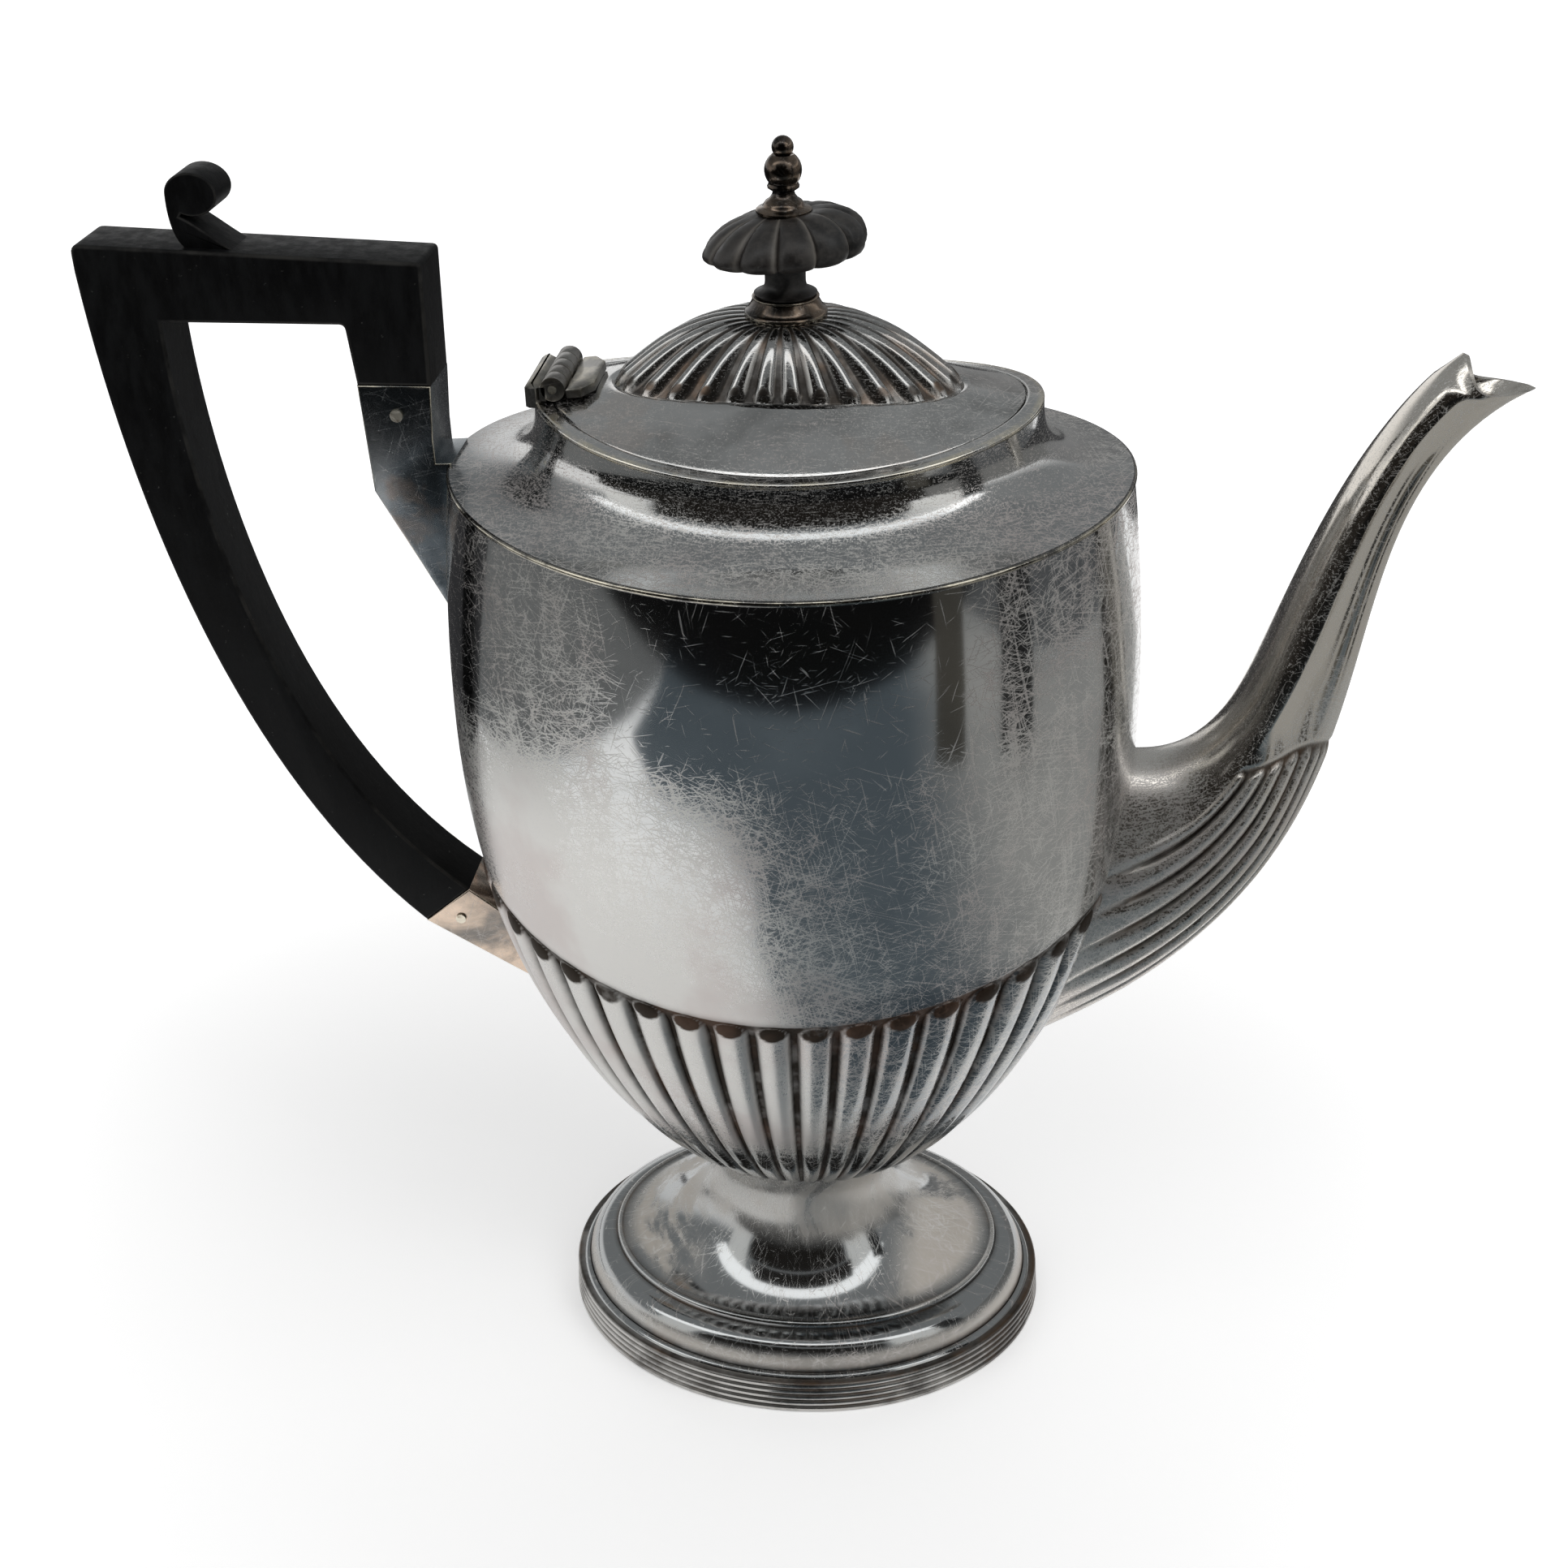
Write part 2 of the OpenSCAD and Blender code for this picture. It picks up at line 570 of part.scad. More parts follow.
half_grip = [cos(low_cut_angle), sin(low_cut_angle)] * low_joint_width / 2;
low_outer = low_joint - half_grip;
low_inner = low_joint + half_grip;
grip_back = [-handle_reach, handle_top - 5];
grip_outer = stretched(grip_back, low_outer, [[0.045, 0.343], [0.32, 0.765]]);
grip_inner_top = [grip_depth - handle_reach, handle_top - bar_depth];
grip_inner = stretched(grip_inner_top, low_inner, [[-0.007, 0.273], [0.18, 0.758]]);

module upper_tenon(clearance) {
    translate([arm_left + tenon_inset - clearance, arm_joint_height - upper_tenon_length - clearance])
        square([arm_width - 2 * (tenon_inset - clearance), upper_tenon_length + cut + clearance]);
}

module lower_tenon(clearance) {
    half = low_joint_width / 2 - tenon_inset + clearance;
    translate(low_joint) rotate(low_tenon_angle) translate([-cut, -half])
        square([lower_tenon_length + cut + clearance, 2 * half]);
}

// Angular wooden grip with a tenon for each socket
module handle_grip() color(black_wood) {
    steps = 14;
    corner = 1.6;
    end_corner = 0.8;
    bar_right = arm_right + bar_overhang;
    bar_low = handle_top - bar_depth;
    outer = [for (i = [0:steps]) curve(grip_outer, i / steps)];
    inner = [for (i = [steps:-1:0]) curve(grip_inner, i / steps)];
    difference() {
        union() {
            slab(handle_thickness) polygon(concat(outer, inner,
                [[arm_left - 2 * bar_overhang, bar_low - 0.4],
                [arm_left - 1.4 * bar_overhang, bar_low - 1.6],
                [arm_left, arm_joint_height], [arm_right, arm_joint_height],
                [bar_right, bar_right_top - end_corner], [bar_right - end_corner, bar_right_top],
                [corner - handle_reach, handle_top], [-handle_reach, handle_top - corner]]));
            slab(handle_thickness - 2 * tenon_inset) upper_tenon(0);
            slab(handle_thickness - 2 * tenon_inset) lower_tenon(0);
        }
        cross_pin(upper_pin_at, upper_pin_radius + fixed_clearance, handle_thickness + 2 * cut);
        cross_pin(lower_pin_at, lower_pin_radius + fixed_clearance, handle_thickness + 2 * cut);
    }
}

// Rolled thumb scroll on the bar
module handle_scroll() color(black_wood) {
    x = scroll_setback - handle_reach;
    foot_right = x + 1.35 * scroll_radius;
    foot_left = x - 0.45 * scroll_radius;
    bar_z = handle_top - 0.1 - bar_fall * (foot_right + handle_reach) / (handle_reach + arm_right);
    roll_z = handle_top + scroll_height;
    drop = roll_z - bar_z;
    tail_out = curve_points([[x - scroll_radius, roll_z], [x - 1.05 * scroll_radius, roll_z - 0.4 * drop],
        [x - 0.95 * scroll_radius, roll_z - 0.85 * drop], [foot_left, bar_z]]);
    tail_in = curve_points([[foot_right, bar_z], [x + 0.8 * scroll_radius, bar_z + 0.14 * drop],
        [x + 0.1 * scroll_radius, bar_z + 0.45 * drop], [x - 0.55 * scroll_radius, roll_z - 0.4 * drop]]);
    slab(scroll_width) union() {
        polygon([for (a = [0:7.5:352.5])
            [x + scroll_radius * cos(a), roll_z + scroll_half_height * sin(a)]]);
        polygon(concat(tail_out, tail_in));
    }
}

// Silver box that holds the arm's tenon and is soldered to the body
module upper_handle_socket() color(silver) {
    low = rim_height - upper_socket_tail;
    high = rim_height - 2;
    ledge = arm_right - 0.6;
    body_side = [for (i = [0:4]) let (z = mix(low, high, i / 4)) [solder_depth - body_x(0, z), z]];
    difference() {
        slab(handle_thickness) polygon(concat(body_side,
            [[0.9 - rim_half_length, rim_height + 0.5], [ledge, rim_height + 0.3], [ledge, rim_height + 5],
            [arm_right, arm_joint_height], [arm_left, arm_joint_height],
            [arm_left + 0.8, rim_height - upper_socket_elbow]]));
        slab(handle_thickness - 2 * (tenon_inset - tenon_clearance)) upper_tenon(tenon_clearance);
        cross_pin(upper_pin_at, upper_pin_radius + fixed_clearance, handle_thickness + 2 * cut);
    }
}

// Silver box that holds the grip's lower tenon and is soldered to the body
module lower_handle_socket() color(silver) {
    high = low_joint_height - 4.5;
    low = high - lower_socket_root;
    body_side = [for (i = [0:3]) let (z = mix(low, high, i / 3))
        [solder_depth + flute_depth - body_x(0, z), z]];
    difference() {
        slab(handle_thickness) polygon(concat(body_side, [low_inner, low_outer]));
        slab(handle_thickness - 2 * (tenon_inset - tenon_clearance)) lower_tenon(tenon_clearance);
        cross_pin(lower_pin_at, lower_pin_radius + fixed_clearance, handle_thickness + 2 * cut);
    }
}

module upper_handle_pin() color(worn_silver) {
    cross_pin(upper_pin_at, upper_pin_radius, handle_thickness + 2 * pin_head);
}

module lower_handle_pin() color(worn_silver) {
    cross_pin(lower_pin_at, lower_pin_radius, handle_thickness + 2 * pin_head);
}

// ---- Lid hinge ----

// Start of the knuckle with the given number along Y
function knuckle_y(number) = -hinge_length / 2 + number * (knuckle_length + knuckle_gap);

// Knuckles with the numbers of the list, bored for the pin
module knuckle_row(numbers, bore) {
    for (i = numbers) translate([hinge_x, knuckle_y(i), hinge_z]) rotate([-90, 0, 0]) difference() {
        cylinder(r = knuckle_radius, h = knuckle_length, $fn = 48);
        translate([0, 0, -cut]) cylinder(r = bore, h = knuckle_length + 2 * cut, $fn = 32);
    }
}

// Block beside each listed knuckle that joins it to its leaf, kept clear of the bore
module knuckle_webs(numbers, from_x, to_x, low, high) {
    for (i = numbers) translate([from_x, knuckle_y(i), low])
        cube([to_x - from_x, knuckle_length, high - low]);
}

module hinge_body_leaf() color(silver) {
    left = -collar_half_length + 0.4;
    right = hinge_x - knuckle_radius - knuckle_gap;
    numbers = [for (i = [0:2:knuckles - 1]) i];
    knuckle_row(numbers, hinge_pin_radius + fixed_clearance);
    knuckle_webs(numbers, right - 0.1, hinge_x - 0.6 * knuckle_radius,
        hinge_z - knuckle_radius, hinge_z + 0.4);
    translate([left, -hinge_length / 2, collar_height - 0.2])
        cube([right - left, hinge_length, hinge_z - collar_height + 0.8]);
}

module hinge_lid_leaf() color(silver) {
    near = knuckle_radius + knuckle_gap + 0.2;
    half = hinge_length / 2;
    tip = lid_leaf_reach - 2;
    slope = atan2(dome_edge_rise, collar_half_length - dome_half_length);
    numbers = [for (i = [1:2:knuckles - 2]) i];
    knuckle_row(numbers, hinge_pin_radius + hinge_clearance);
    knuckle_webs(numbers, hinge_x + 0.6 * knuckle_radius, hinge_x + near + 0.4,
        hinge_z - knuckle_radius + 0.1, hinge_z - 0.2);
    translate([hinge_x, 0, hinge_z - knuckle_radius + 0.25 - hinge_lift]) rotate([0, -slope, 0])
        linear_extrude(leaf_thickness) polygon([[near, -half], [tip, -half], [lid_leaf_reach, -half + 3],
            [lid_leaf_reach, half - 3], [tip, half], [near, half]]);
}

module hinge_pin() color(dull_metal) {
    cross_pin([hinge_x, hinge_z], hinge_pin_radius, hinge_length + 0.4);
}

// ---- Lid ----

// Ring of the lid's dome at u, from its fluted edge (0) to the knob's seat (1)
function dome_ring(u, drop, flutes) =
    let (rise = pow(sin(90 * u), 0.85), side = pow(1 - u, 0.9),
        l = mix(knob_base_radius, dome_half_length, side), w = mix(knob_base_radius, dome_half_width, side))
    [for (i = [0:lid_sides - 1])
        let (t = even_angle(360 * i / lid_sides, dome_half_length, dome_half_width),
            groove = (flutes && i % 3 == 0) ? lid_flute_depth * min(1, 6 * u, 3 * (1 - u)) : 0,
            edge = collar_height + dome_edge_rise + dome_edge_lift * pow(sin(t), 2))
        [l * cos(t), w * sin(t), mix(edge, dome_top, rise) - drop - groove]];

// Lid: plain sloping border, then a fluted dome with a flat seat for the knob
module lid_shell() {
    function border(l, w, z, dip) = oval(l, w, z, dip, lid_sides);
    half_l = mix(lid_half_length, dome_half_length, 0.5);
    half_w = mix(lid_half_width, dome_half_width, 0.5);
    mid_z = collar_height + 0.4 * dome_edge_rise;
    mid_dip = mix(collar_dip, -dome_edge_lift, 0.62);
    seat = knob_base_radius - 1.5;
    sheet = lid_sheet + lid_flute_depth;
    outer = concat([for (drop = [lid_sheet, 0])
        border(lid_half_length, lid_half_width, collar_height - drop, collar_dip)],
        [border(half_l, half_w, mid_z, mid_dip)],
        [for (u = [0, 0.12, 0.3, 0.5, 0.75, 1]) dome_ring(u, 0, true)]);
    middle = [for (drop = [0, sheet]) border(seat, seat, dome_top - drop, 0)];
    inner = concat([for (u = [1, 0.6, 0.3, 0]) dome_ring(u, sheet, false)],
        [border(half_l, half_w, mid_z - lid_sheet, mid_dip)]);
    color(silver) difference() {
        union() {
            ring_skin(concat(outer, middle, inner));
            translate([0, 0, dome_top - sheet]) cylinder(r = seat + 0.2, h = sheet, $fn = 64);
        }
        translate([0, 0, dome_top - 2 * sheet])
            cylinder(r = shank_radius + fixed_clearance, h = 3 * sheet, $fn = 32);
    }
}

// Upright flange under the lid that centres it in the collar
module lid_flange() {
    half_l = ledge_half_l - flange_clearance;
    half_w = ledge_half_w - flange_clearance;
    top = collar_height - lid_sheet + 0.1;
    function edge(inset, drop) = oval(half_l - inset, half_w - inset, top - drop, collar_dip, lid_sides);
    color(silver) ring_skin([edge(0, flange_depth), edge(0, 0), edge(lid_sheet, 0),
        edge(lid_sheet, flange_depth)]);
}

// ---- Knob ----

module knob_base() color(dull_metal) difference() {
    waist = knob_base_radius - 1.2;
    translate([0, 0, dome_top]) rotate_extrude($fn = 64)
        polygon([[0, 0], [knob_base_radius, 0], [knob_base_radius, 0.9], [knob_base_radius - 0.5, 1.3],
            [waist, knob_base_height - 0.8], [waist, knob_base_height], [0, knob_base_height]]);
    translate([0, 0, dome_top - cut])
        cylinder(r = shank_radius + fixed_clearance, h = knob_base_height + 2 * cut, $fn = 32);
}

cap_sides = 4 * knob_lobes;

// One ring of the lobed cap at a share of its reach, at height z above the cap's foot
function cap_ring(share, z, lean) =
    [for (i = [0:cap_sides - 1])
        let (t = 360 * i / cap_sides, depth = i % 4 == 0 ? 1 : (i % 2 == 0 ? 0 : 0.25),
            groove = knob_lobe_depth * share * depth)
        [(knob_half_length * share - groove) * cos(t), (knob_half_width * share - groove) * sin(t),
            knob_cap_z + z + lean * cos(t) * share]];

// Wooden knob: flared stem under a low lobed cap
module knob_wood() color(black_wood) difference() {
    h = knob_cap_height;
    under = 0.45 * knob_cap_lean;
    flare = [for (a = [0:15:90]) [knob_stem_radius + 2 * (1 - sin(a)), 0.4 + 2 * (1 - cos(a))]];
    top = [for (i = [0:cap_sides - 1]) let (t = 360 * i / cap_sides, r = finial_radius - 0.4)
        [r * cos(t), r * sin(t), finial_z]];
    union() {
        translate([0, 0, knob_stem_z]) rotate_extrude($fn = 64) polygon(concat([[0, 0]], flare,
            [[knob_stem_radius, knob_stem_height + 1.6], [0, knob_stem_height + 1.6]]));
        capped_skin([cap_ring(0.34, 0.4, under), cap_ring(0.8, 0, under), cap_ring(0.97, 0.1 * h, under),
            cap_ring(1, 0.28 * h, 0.7 * knob_cap_lean), cap_ring(0.94, 0.56 * h, knob_cap_lean),
            cap_ring(0.76, 0.84 * h, knob_cap_lean), cap_ring(0.52, 0.98 * h, knob_cap_lean), top]);
    }
    translate([0, 0, knob_stem_z - cut])
        cylinder(r = shank_radius + fixed_clearance, h = finial_z - knob_stem_z + 2 * cut, $fn = 32);
}

washer_z = dome_top - lid_sheet - lid_flute_depth - washer_height;

// Turned metal finial whose shank runs through the knob to the nut under the lid
module knob_finial() color(dull_metal) {
    ball = 1.9;
    belly = 3.25;
    belly_z = finial_height - 2 * ball - 0.6 * belly;
    tip = washer_z - nut_height - 1;
    foot = [[0, 0], [finial_radius, 0], [finial_radius, 0.7], [finial_radius - 1.3, 1.1],
        [finial_radius - 1.4, 1.9], [2.1, 2.9], [1.9, 3.6], [2.7, 4.2], [2.7, 5]];
    waist = [for (a = [-36:18:54]) [belly * cos(a), belly_z + belly * sin(a)]];
    head = [for (a = [-54:18:90]) [max(0, ball * cos(a)), finial_height - ball + ball * sin(a)]];
    translate([0, 0, finial_z]) rotate_extrude($fn = 48) polygon(concat(foot, waist, head));
    translate([0, 0, tip]) cylinder(r = shank_radius, h = finial_z - tip, $fn = 32);
}

module knob_washer() color(worn_silver) translate([0, 0, washer_z]) difference() {
    cylinder(r = washer_radius, h = washer_height, $fn = 48);
    translate([0, 0, -cut])
        cylinder(r = shank_radius + fixed_clearance, h = washer_height + 2 * cut, $fn = 32);
}

module knob_nut() color(worn_silver) translate([0, 0, washer_z - nut_height]) difference() {
    cylinder(d = nut_width, h = nut_height, $fn = 6);
    translate([0, 0, -cut])
        cylinder(r = shank_radius + fixed_clearance, h = nut_height + 2 * cut, $fn = 32);
}

body_shell();
shoulder_cover();
rim_wire();
collar_bezel();
foot();
foot_rim();
spout();
spout_strainer();
upper_handle_socket();
lower_handle_socket();
handle_grip();
handle_scroll();
upper_handle_pin();
lower_handle_pin();
hinge_body_leaf();
hinge_lid_leaf();
hinge_pin();
lid_shell();
lid_flange();
knob_base();
knob_wood();
knob_finial();
knob_washer();
knob_nut();
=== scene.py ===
"""Dresses the silver-plated coffee pot: every length is in millimetres, in the CAD model's frame."""

import functools
from math import atan2, copysign, cos, dist, hypot, pi, radians, sin, sqrt

import bmesh
import bpy
from mathutils import Matrix, Vector


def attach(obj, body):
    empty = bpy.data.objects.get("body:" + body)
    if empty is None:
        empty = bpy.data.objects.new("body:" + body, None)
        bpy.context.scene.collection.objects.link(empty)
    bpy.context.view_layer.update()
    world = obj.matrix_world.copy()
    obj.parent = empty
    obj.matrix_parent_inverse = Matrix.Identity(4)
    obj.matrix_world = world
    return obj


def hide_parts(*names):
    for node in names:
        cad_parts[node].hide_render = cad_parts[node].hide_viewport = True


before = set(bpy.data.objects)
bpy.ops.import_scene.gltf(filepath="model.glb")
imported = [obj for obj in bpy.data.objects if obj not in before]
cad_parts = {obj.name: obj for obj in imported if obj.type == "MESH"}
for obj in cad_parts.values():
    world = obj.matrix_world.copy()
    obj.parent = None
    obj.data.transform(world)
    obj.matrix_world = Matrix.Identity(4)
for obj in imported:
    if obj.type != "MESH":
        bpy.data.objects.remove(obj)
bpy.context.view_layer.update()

MM = 0.001
TURN = 2 * pi


# ---- Lines and ovals ----


def mix(a, b, u):
    return a + (b - a) * u


def ease(low, high, x):
    """Smooth change from 0 to 1 while x runs from low to high."""
    u = max(0.0, min(1.0, (x - low) / (high - low)))
    return u * u * (3 - 2 * u)


def between(p, q, u):
    """Point, or pair of half sizes, at share u of the way from p to q."""
    return tuple(mix(a, b, u) for a, b in zip(p, q))


def curve_point(points, u):
    """Point at u on the smooth curve with these control points."""
    while len(points) > 1:
        points = [between(p, q, u) for p, q in zip(points, points[1:])]
    return points[0]


def stretched(start, end, shares):
    """Control points from start to end; the inner ones are given as shares of the way."""
    inner = [(mix(start[0], end[0], x), mix(start[1], end[1], z)) for x, z in shares]
    return [start, *inner, end]


def even_angle(s, length, width):
    """Angle that keeps equal steps along an oval's edge equal in length."""
    bend = (length**2 - width**2) / (4 * (length**2 + width**2))
    return s + bend * sin(2 * s)


def oval(length, width, z, dip=0.0, sides=168):
    """Oval whose ends stand at z and whose middle sinks by dip."""
    angles = [TURN * i / sides for i in range(sides)]
    return [
        (length * cos(t), width * sin(t), z - dip * sin(t) ** 2)
        for t in angles
    ]


def inset_oval(halves, inset, z, dip=0.0, sides=168):
    """Oval that lies inside the one with these half sizes."""
    return oval(halves[0] - inset, halves[1] - inset, z, dip, sides)


def circle_ring(radius, z, sides=64):
    return oval(radius, radius, z, 0.0, sides)


def lobe(across, half_share=0.9, ending=0.0):
    """Round back of one flute: 1 on its crown, 0 in the groove beside it; across runs from -1 to 1."""
    reach = hypot(across / half_share, ending)
    return sqrt(1 - min(1.0, reach) ** 2)


def shadow_spot(across, along):
    """Dark oval in the round end of a flute: 1 in it, 0 round it."""
    return ease(1.15, 0.8, hypot(across, along))


def lobe_place(s, count):
    """Place across the flute at angle s, from -1 to 1, with a groove at each end."""
    return (s / TURN * count) % 1 * 2 - 1


# ---- Pieces from rings ----


def placed(name, data):
    """Object with this data, linked to the scene."""
    made = bpy.data.objects.new(name, data)
    bpy.context.scene.collection.objects.link(made)
    return made


def new_piece(name, points, faces, material, body, nodes, slot_name, marks=None, corner=38):
    """Mesh piece in millimetres that rides on a body and stands for the CAD nodes."""
    mesh = bpy.data.meshes.new(name)
    mesh.from_pydata([[c * MM for c in p] for p in points], [], faces)
    for mark, values in (marks or {}).items():
        attribute = mesh.attributes.new(mark, "FLOAT", "POINT")
        attribute.data.foreach_set("value", values)
    shape = bmesh.new()
    shape.from_mesh(mesh)
    bmesh.ops.recalc_face_normals(shape, faces=shape.faces)
    shape.to_mesh(mesh)
    shape.free()
    mesh.shade_smooth()
    mesh.set_sharp_from_angle(angle=radians(corner))
    mesh.materials.append(material)
    piece = placed(name, mesh)
    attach(piece, body)
    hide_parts(*nodes)


def skin_faces(count, sides, loop):
    """Quads between neighbouring rings; loop joins the last ring to the first, else both ends get a cap."""
    faces = []
    for i in range(count if loop else count - 1):
        low, high = i * sides, (i + 1) % count * sides
        for j in range(sides):
            k = (j + 1) % sides
            faces.append((low + j, low + k, high + k, high + j))
    if not loop:
        last = (count - 1) * sides
        faces += [tuple(range(sides)), tuple(last + j for j in reversed(range(sides)))]
    return faces


def ring_piece(name, rings, *role, loop=True, marks=None, corner=38):
    """Piece with a skin over rings of equal count.

    The role is its material, body, CAD nodes and slot; the slot is not used. A mark has one value or a list
    for each ring.
    """
    sides = len(rings[0])
    points = [p for ring in rings for p in ring]
    flat = {}
    for mark, rows in (marks or {}).items():
        flat[mark] = [v for row in rows for v in (row if isinstance(row, list) else [row] * sides)]
    new_piece(name, points, skin_faces(len(rings), sides, loop), *role, flat, corner)


def grooved_piece(name, rows, *role, **options):
    """Ring piece from rows, each with a ring and its groove mark: dirt, and on the fluted body and lid also
    the painted dark reflection at the flute ends.
    """
    rings, grooves = zip(*rows)
    ring_piece(name, rings, *role, marks={"groove": grooves}, **options)


def turned_piece(name, profile, *role, **options):
    """Turned piece round the pot's upright axis from a profile of (radius, height)."""
    ring_piece(name, [circle_ring(r, z) for r, z in profile], *role, loop=False, **options)


ROUND_EDGE = ((1.0, 0.0), (0.62, 0.08), (0.29, 0.29), (0.08, 0.62), (0.0, 1.0))
EDGE_WORN = (0.0, 1.0, 1.0, 1.0, 0.0)


def rounded_slab(name, outline, width, edge, *role):
    """Flat piece with an outline in X and Z, sawn to a width across Y, with its long edges rounded."""
    levels = [(inset * edge, depth * edge - width / 2) for inset, depth in ROUND_EDGE]
    levels += [(inset, -y) for inset, y in reversed(levels)]
    inward = inward_steps(outline)
    rings = [
        [(x + dx * inset, y, z + dz * inset) for (x, z), (dx, dz) in zip(outline, inward)]
        for inset, y in levels
    ]
    ring_piece(name, rings, *role, loop=False, marks={"edge": EDGE_WORN * 2}, corner=50)


def inward_steps(outline):
    """For each corner of a closed outline, the step that moves both its sides inward by one."""
    area = sum(a[0] * b[1] - b[0] * a[1] for a, b in zip(outline, outline[1:] + outline[:1]))
    turn = 1 if area > 0 else -1
    steps = []
    for i, here in enumerate(outline):
        before, after = Vector(outline[i - 1]), Vector(outline[(i + 1) % len(outline)])
        here = Vector(here)
        first, second = (here - before).normalized(), (after - here).normalized()
        n1 = Vector((-first[1], first[0])) * turn
        n2 = Vector((-second[1], second[0])) * turn
        middle = n1 + n2
        if middle.length < 0.2:
            middle = n1
        middle = middle.normalized()
        steps.append(middle / max(0.45, middle.dot(n1)))
    return steps


# ---- Shader parts ----


class Wiring:
    """Adds nodes to a shader tree and links them; a plain value or a socket feeds any input."""

    def __init__(self, tree):
        self.tree = tree

    def feed(self, socket, value):
        if isinstance(value, bpy.types.NodeSocket):
            self.tree.links.new(value, socket)
        elif socket.type == "RGBA":
            socket.default_value = (*value, 1)
        else:
            socket.default_value = value

    def give(self, node, inputs):
        for key, value in inputs.items():
            self.feed(node.inputs[key], value)

    def node(self, kind, inputs=None, **settings):
        made = self.tree.nodes.new(kind)
        for key, value in settings.items():
            setattr(made, key, value)
        self.give(made, inputs or {})
        return made

    def join(self, operation, first, *others, clamp=False):
        """Joins values with one operation, from the first to the last."""
        for other in others:
            made = self.node("ShaderNodeMath", {0: first, 1: other}, operation=operation, use_clamp=clamp)
            first = made.outputs[0]
        return first

    plus = functools.partialmethod(join, "ADD")
    times = functools.partialmethod(join, "MULTIPLY")
    most = functools.partialmethod(join, "MAXIMUM")

    def scaled(self, value, factor, offset=0.0):
        inputs = {0: value, 1: factor, 2: offset}
        return self.node("ShaderNodeMath", inputs, operation="MULTIPLY_ADD").outputs[0]

    def band(self, value, low, high, start=0.0, end=1.0):
        """Smooth step of a value from start at low to end at high."""
        inputs = {"Value": value, 1: low, 2: high, 3: start, 4: end}
        return self.node("ShaderNodeMapRange", inputs, interpolation_type="SMOOTHSTEP").outputs[0]

    def blend(self, share, first, second):
        inputs = {0: share, 6: first, 7: second}
        return self.node("ShaderNodeMix", inputs, data_type="RGBA", blend_type="MIX").outputs[2]

    def noise(self, place, scale, detail=4.0, rough=0.55, bend=0.0):
        inputs = {"Vector": place, "Scale": scale, "Detail": detail, "Roughness": rough, "Distortion": bend}
        return self.node("ShaderNodeTexNoise", inputs).outputs["Fac"]

    def stretched_place(self, place, scale, turn=(0, 0, 0)):
        inputs = {"Vector": place, "Scale": scale, "Rotation": turn}
        return self.node("ShaderNodeMapping", inputs).outputs[0]

    def split(self, place):
        """X, Y and Z of a place."""
        return self.node("ShaderNodeSeparateXYZ", {0: place}).outputs

    def mark(self, name):
        return self.node("ShaderNodeAttribute", attribute_name=name).outputs["Fac"]

    def use(self, group, **inputs):
        return self.node("ShaderNodeGroup", inputs, node_tree=group).outputs["Mask"]

    def bump(self, height, distance, strength):
        inputs = {"Height": height, "Distance": distance, "Strength": strength}
        return self.node("ShaderNodeBump", inputs).outputs[0]


NUMBER = "NodeSocketFloat"


def effect(name, build, **inputs):
    """Shader node group that turns a place and named numbers into a mask."""
    tree = bpy.data.node_groups.new(name, "ShaderNodeTree")
    tree.interface.new_socket(name="Place", in_out="INPUT", socket_type="NodeSocketVector")
    for label, value in inputs.items():
        tree.interface.new_socket(name=label, in_out="INPUT", socket_type=NUMBER).default_value = value
    tree.interface.new_socket(name="Mask", in_out="OUTPUT", socket_type=NUMBER)
    w = Wiring(tree)
    given = w.node("NodeGroupInput").outputs
    w.give(w.node("NodeGroupOutput"), {"Mask": build(w, given)})
    return tree


def build_clouds(w, given):
    """Patchy clouds with ragged edges."""
    bent = w.noise(given["Place"], w.times(given["Scale"], 2.3), 3.0, 0.6)
    large = w.noise(given["Place"], given["Scale"], 7.0, 0.62, 0.6)
    total = w.plus(large, w.join("SUBTRACT", w.scaled(bent, 0.35), 0.175))
    edge = w.join("SUBTRACT", 1.0, given["Cover"])
    return w.band(total, w.join("SUBTRACT", edge, given["Softness"]), w.plus(edge, given["Softness"]))


# Direction, fineness across and fineness along of each set of hairlines
STROKES = (
    (0.2, 3800, 60),
    (0.75, 4300, 230),
    (1.2, 3700, 50),
    (1.57, 4100, 300),
    (-0.35, 3800, 110),
    (-0.9, 4300, 260),
    (-1.3, 3900, 60),
)
STROKE_SHARE = 0.68
SWAY = 0.002


def build_strokes(w, given):
    """Short crossing hairlines that grow together where the metal is rubbed most."""
    wander = w.node("ShaderNodeTexNoise", {"Vector": given["Place"], "Scale": 60.0, "Detail": 1.0})
    sway = w.node("ShaderNodeVectorMath", {0: wander.outputs["Color"], "Scale": SWAY}, operation="SCALE")
    bent = w.node("ShaderNodeVectorMath", {0: given["Place"], 1: sway.outputs[0]}, operation="ADD")
    patches = w.noise(given["Place"], given["Scale"], 5.0, 0.65)
    rubbing = w.plus(given["Rubbing"], w.scaled(patches, 0.9, -0.45))
    start = w.scaled(rubbing, -0.27, 0.775)
    end = w.plus(start, 0.07)
    lines = 0.0
    for turn, across, along in STROKES:
        drawn = w.stretched_place(bent.outputs[0], (1, 1, 1), (0, turn, 0))
        drawn = w.stretched_place(drawn, (across, across, along))
        lines = w.plus(lines, w.band(w.noise(drawn, 1.0, 0.0), start, end, 0.0, STROKE_SHARE))
    return w.times(w.most(lines, w.band(rubbing, 0.48, 1.15)), given["Amount"], clamp=True)


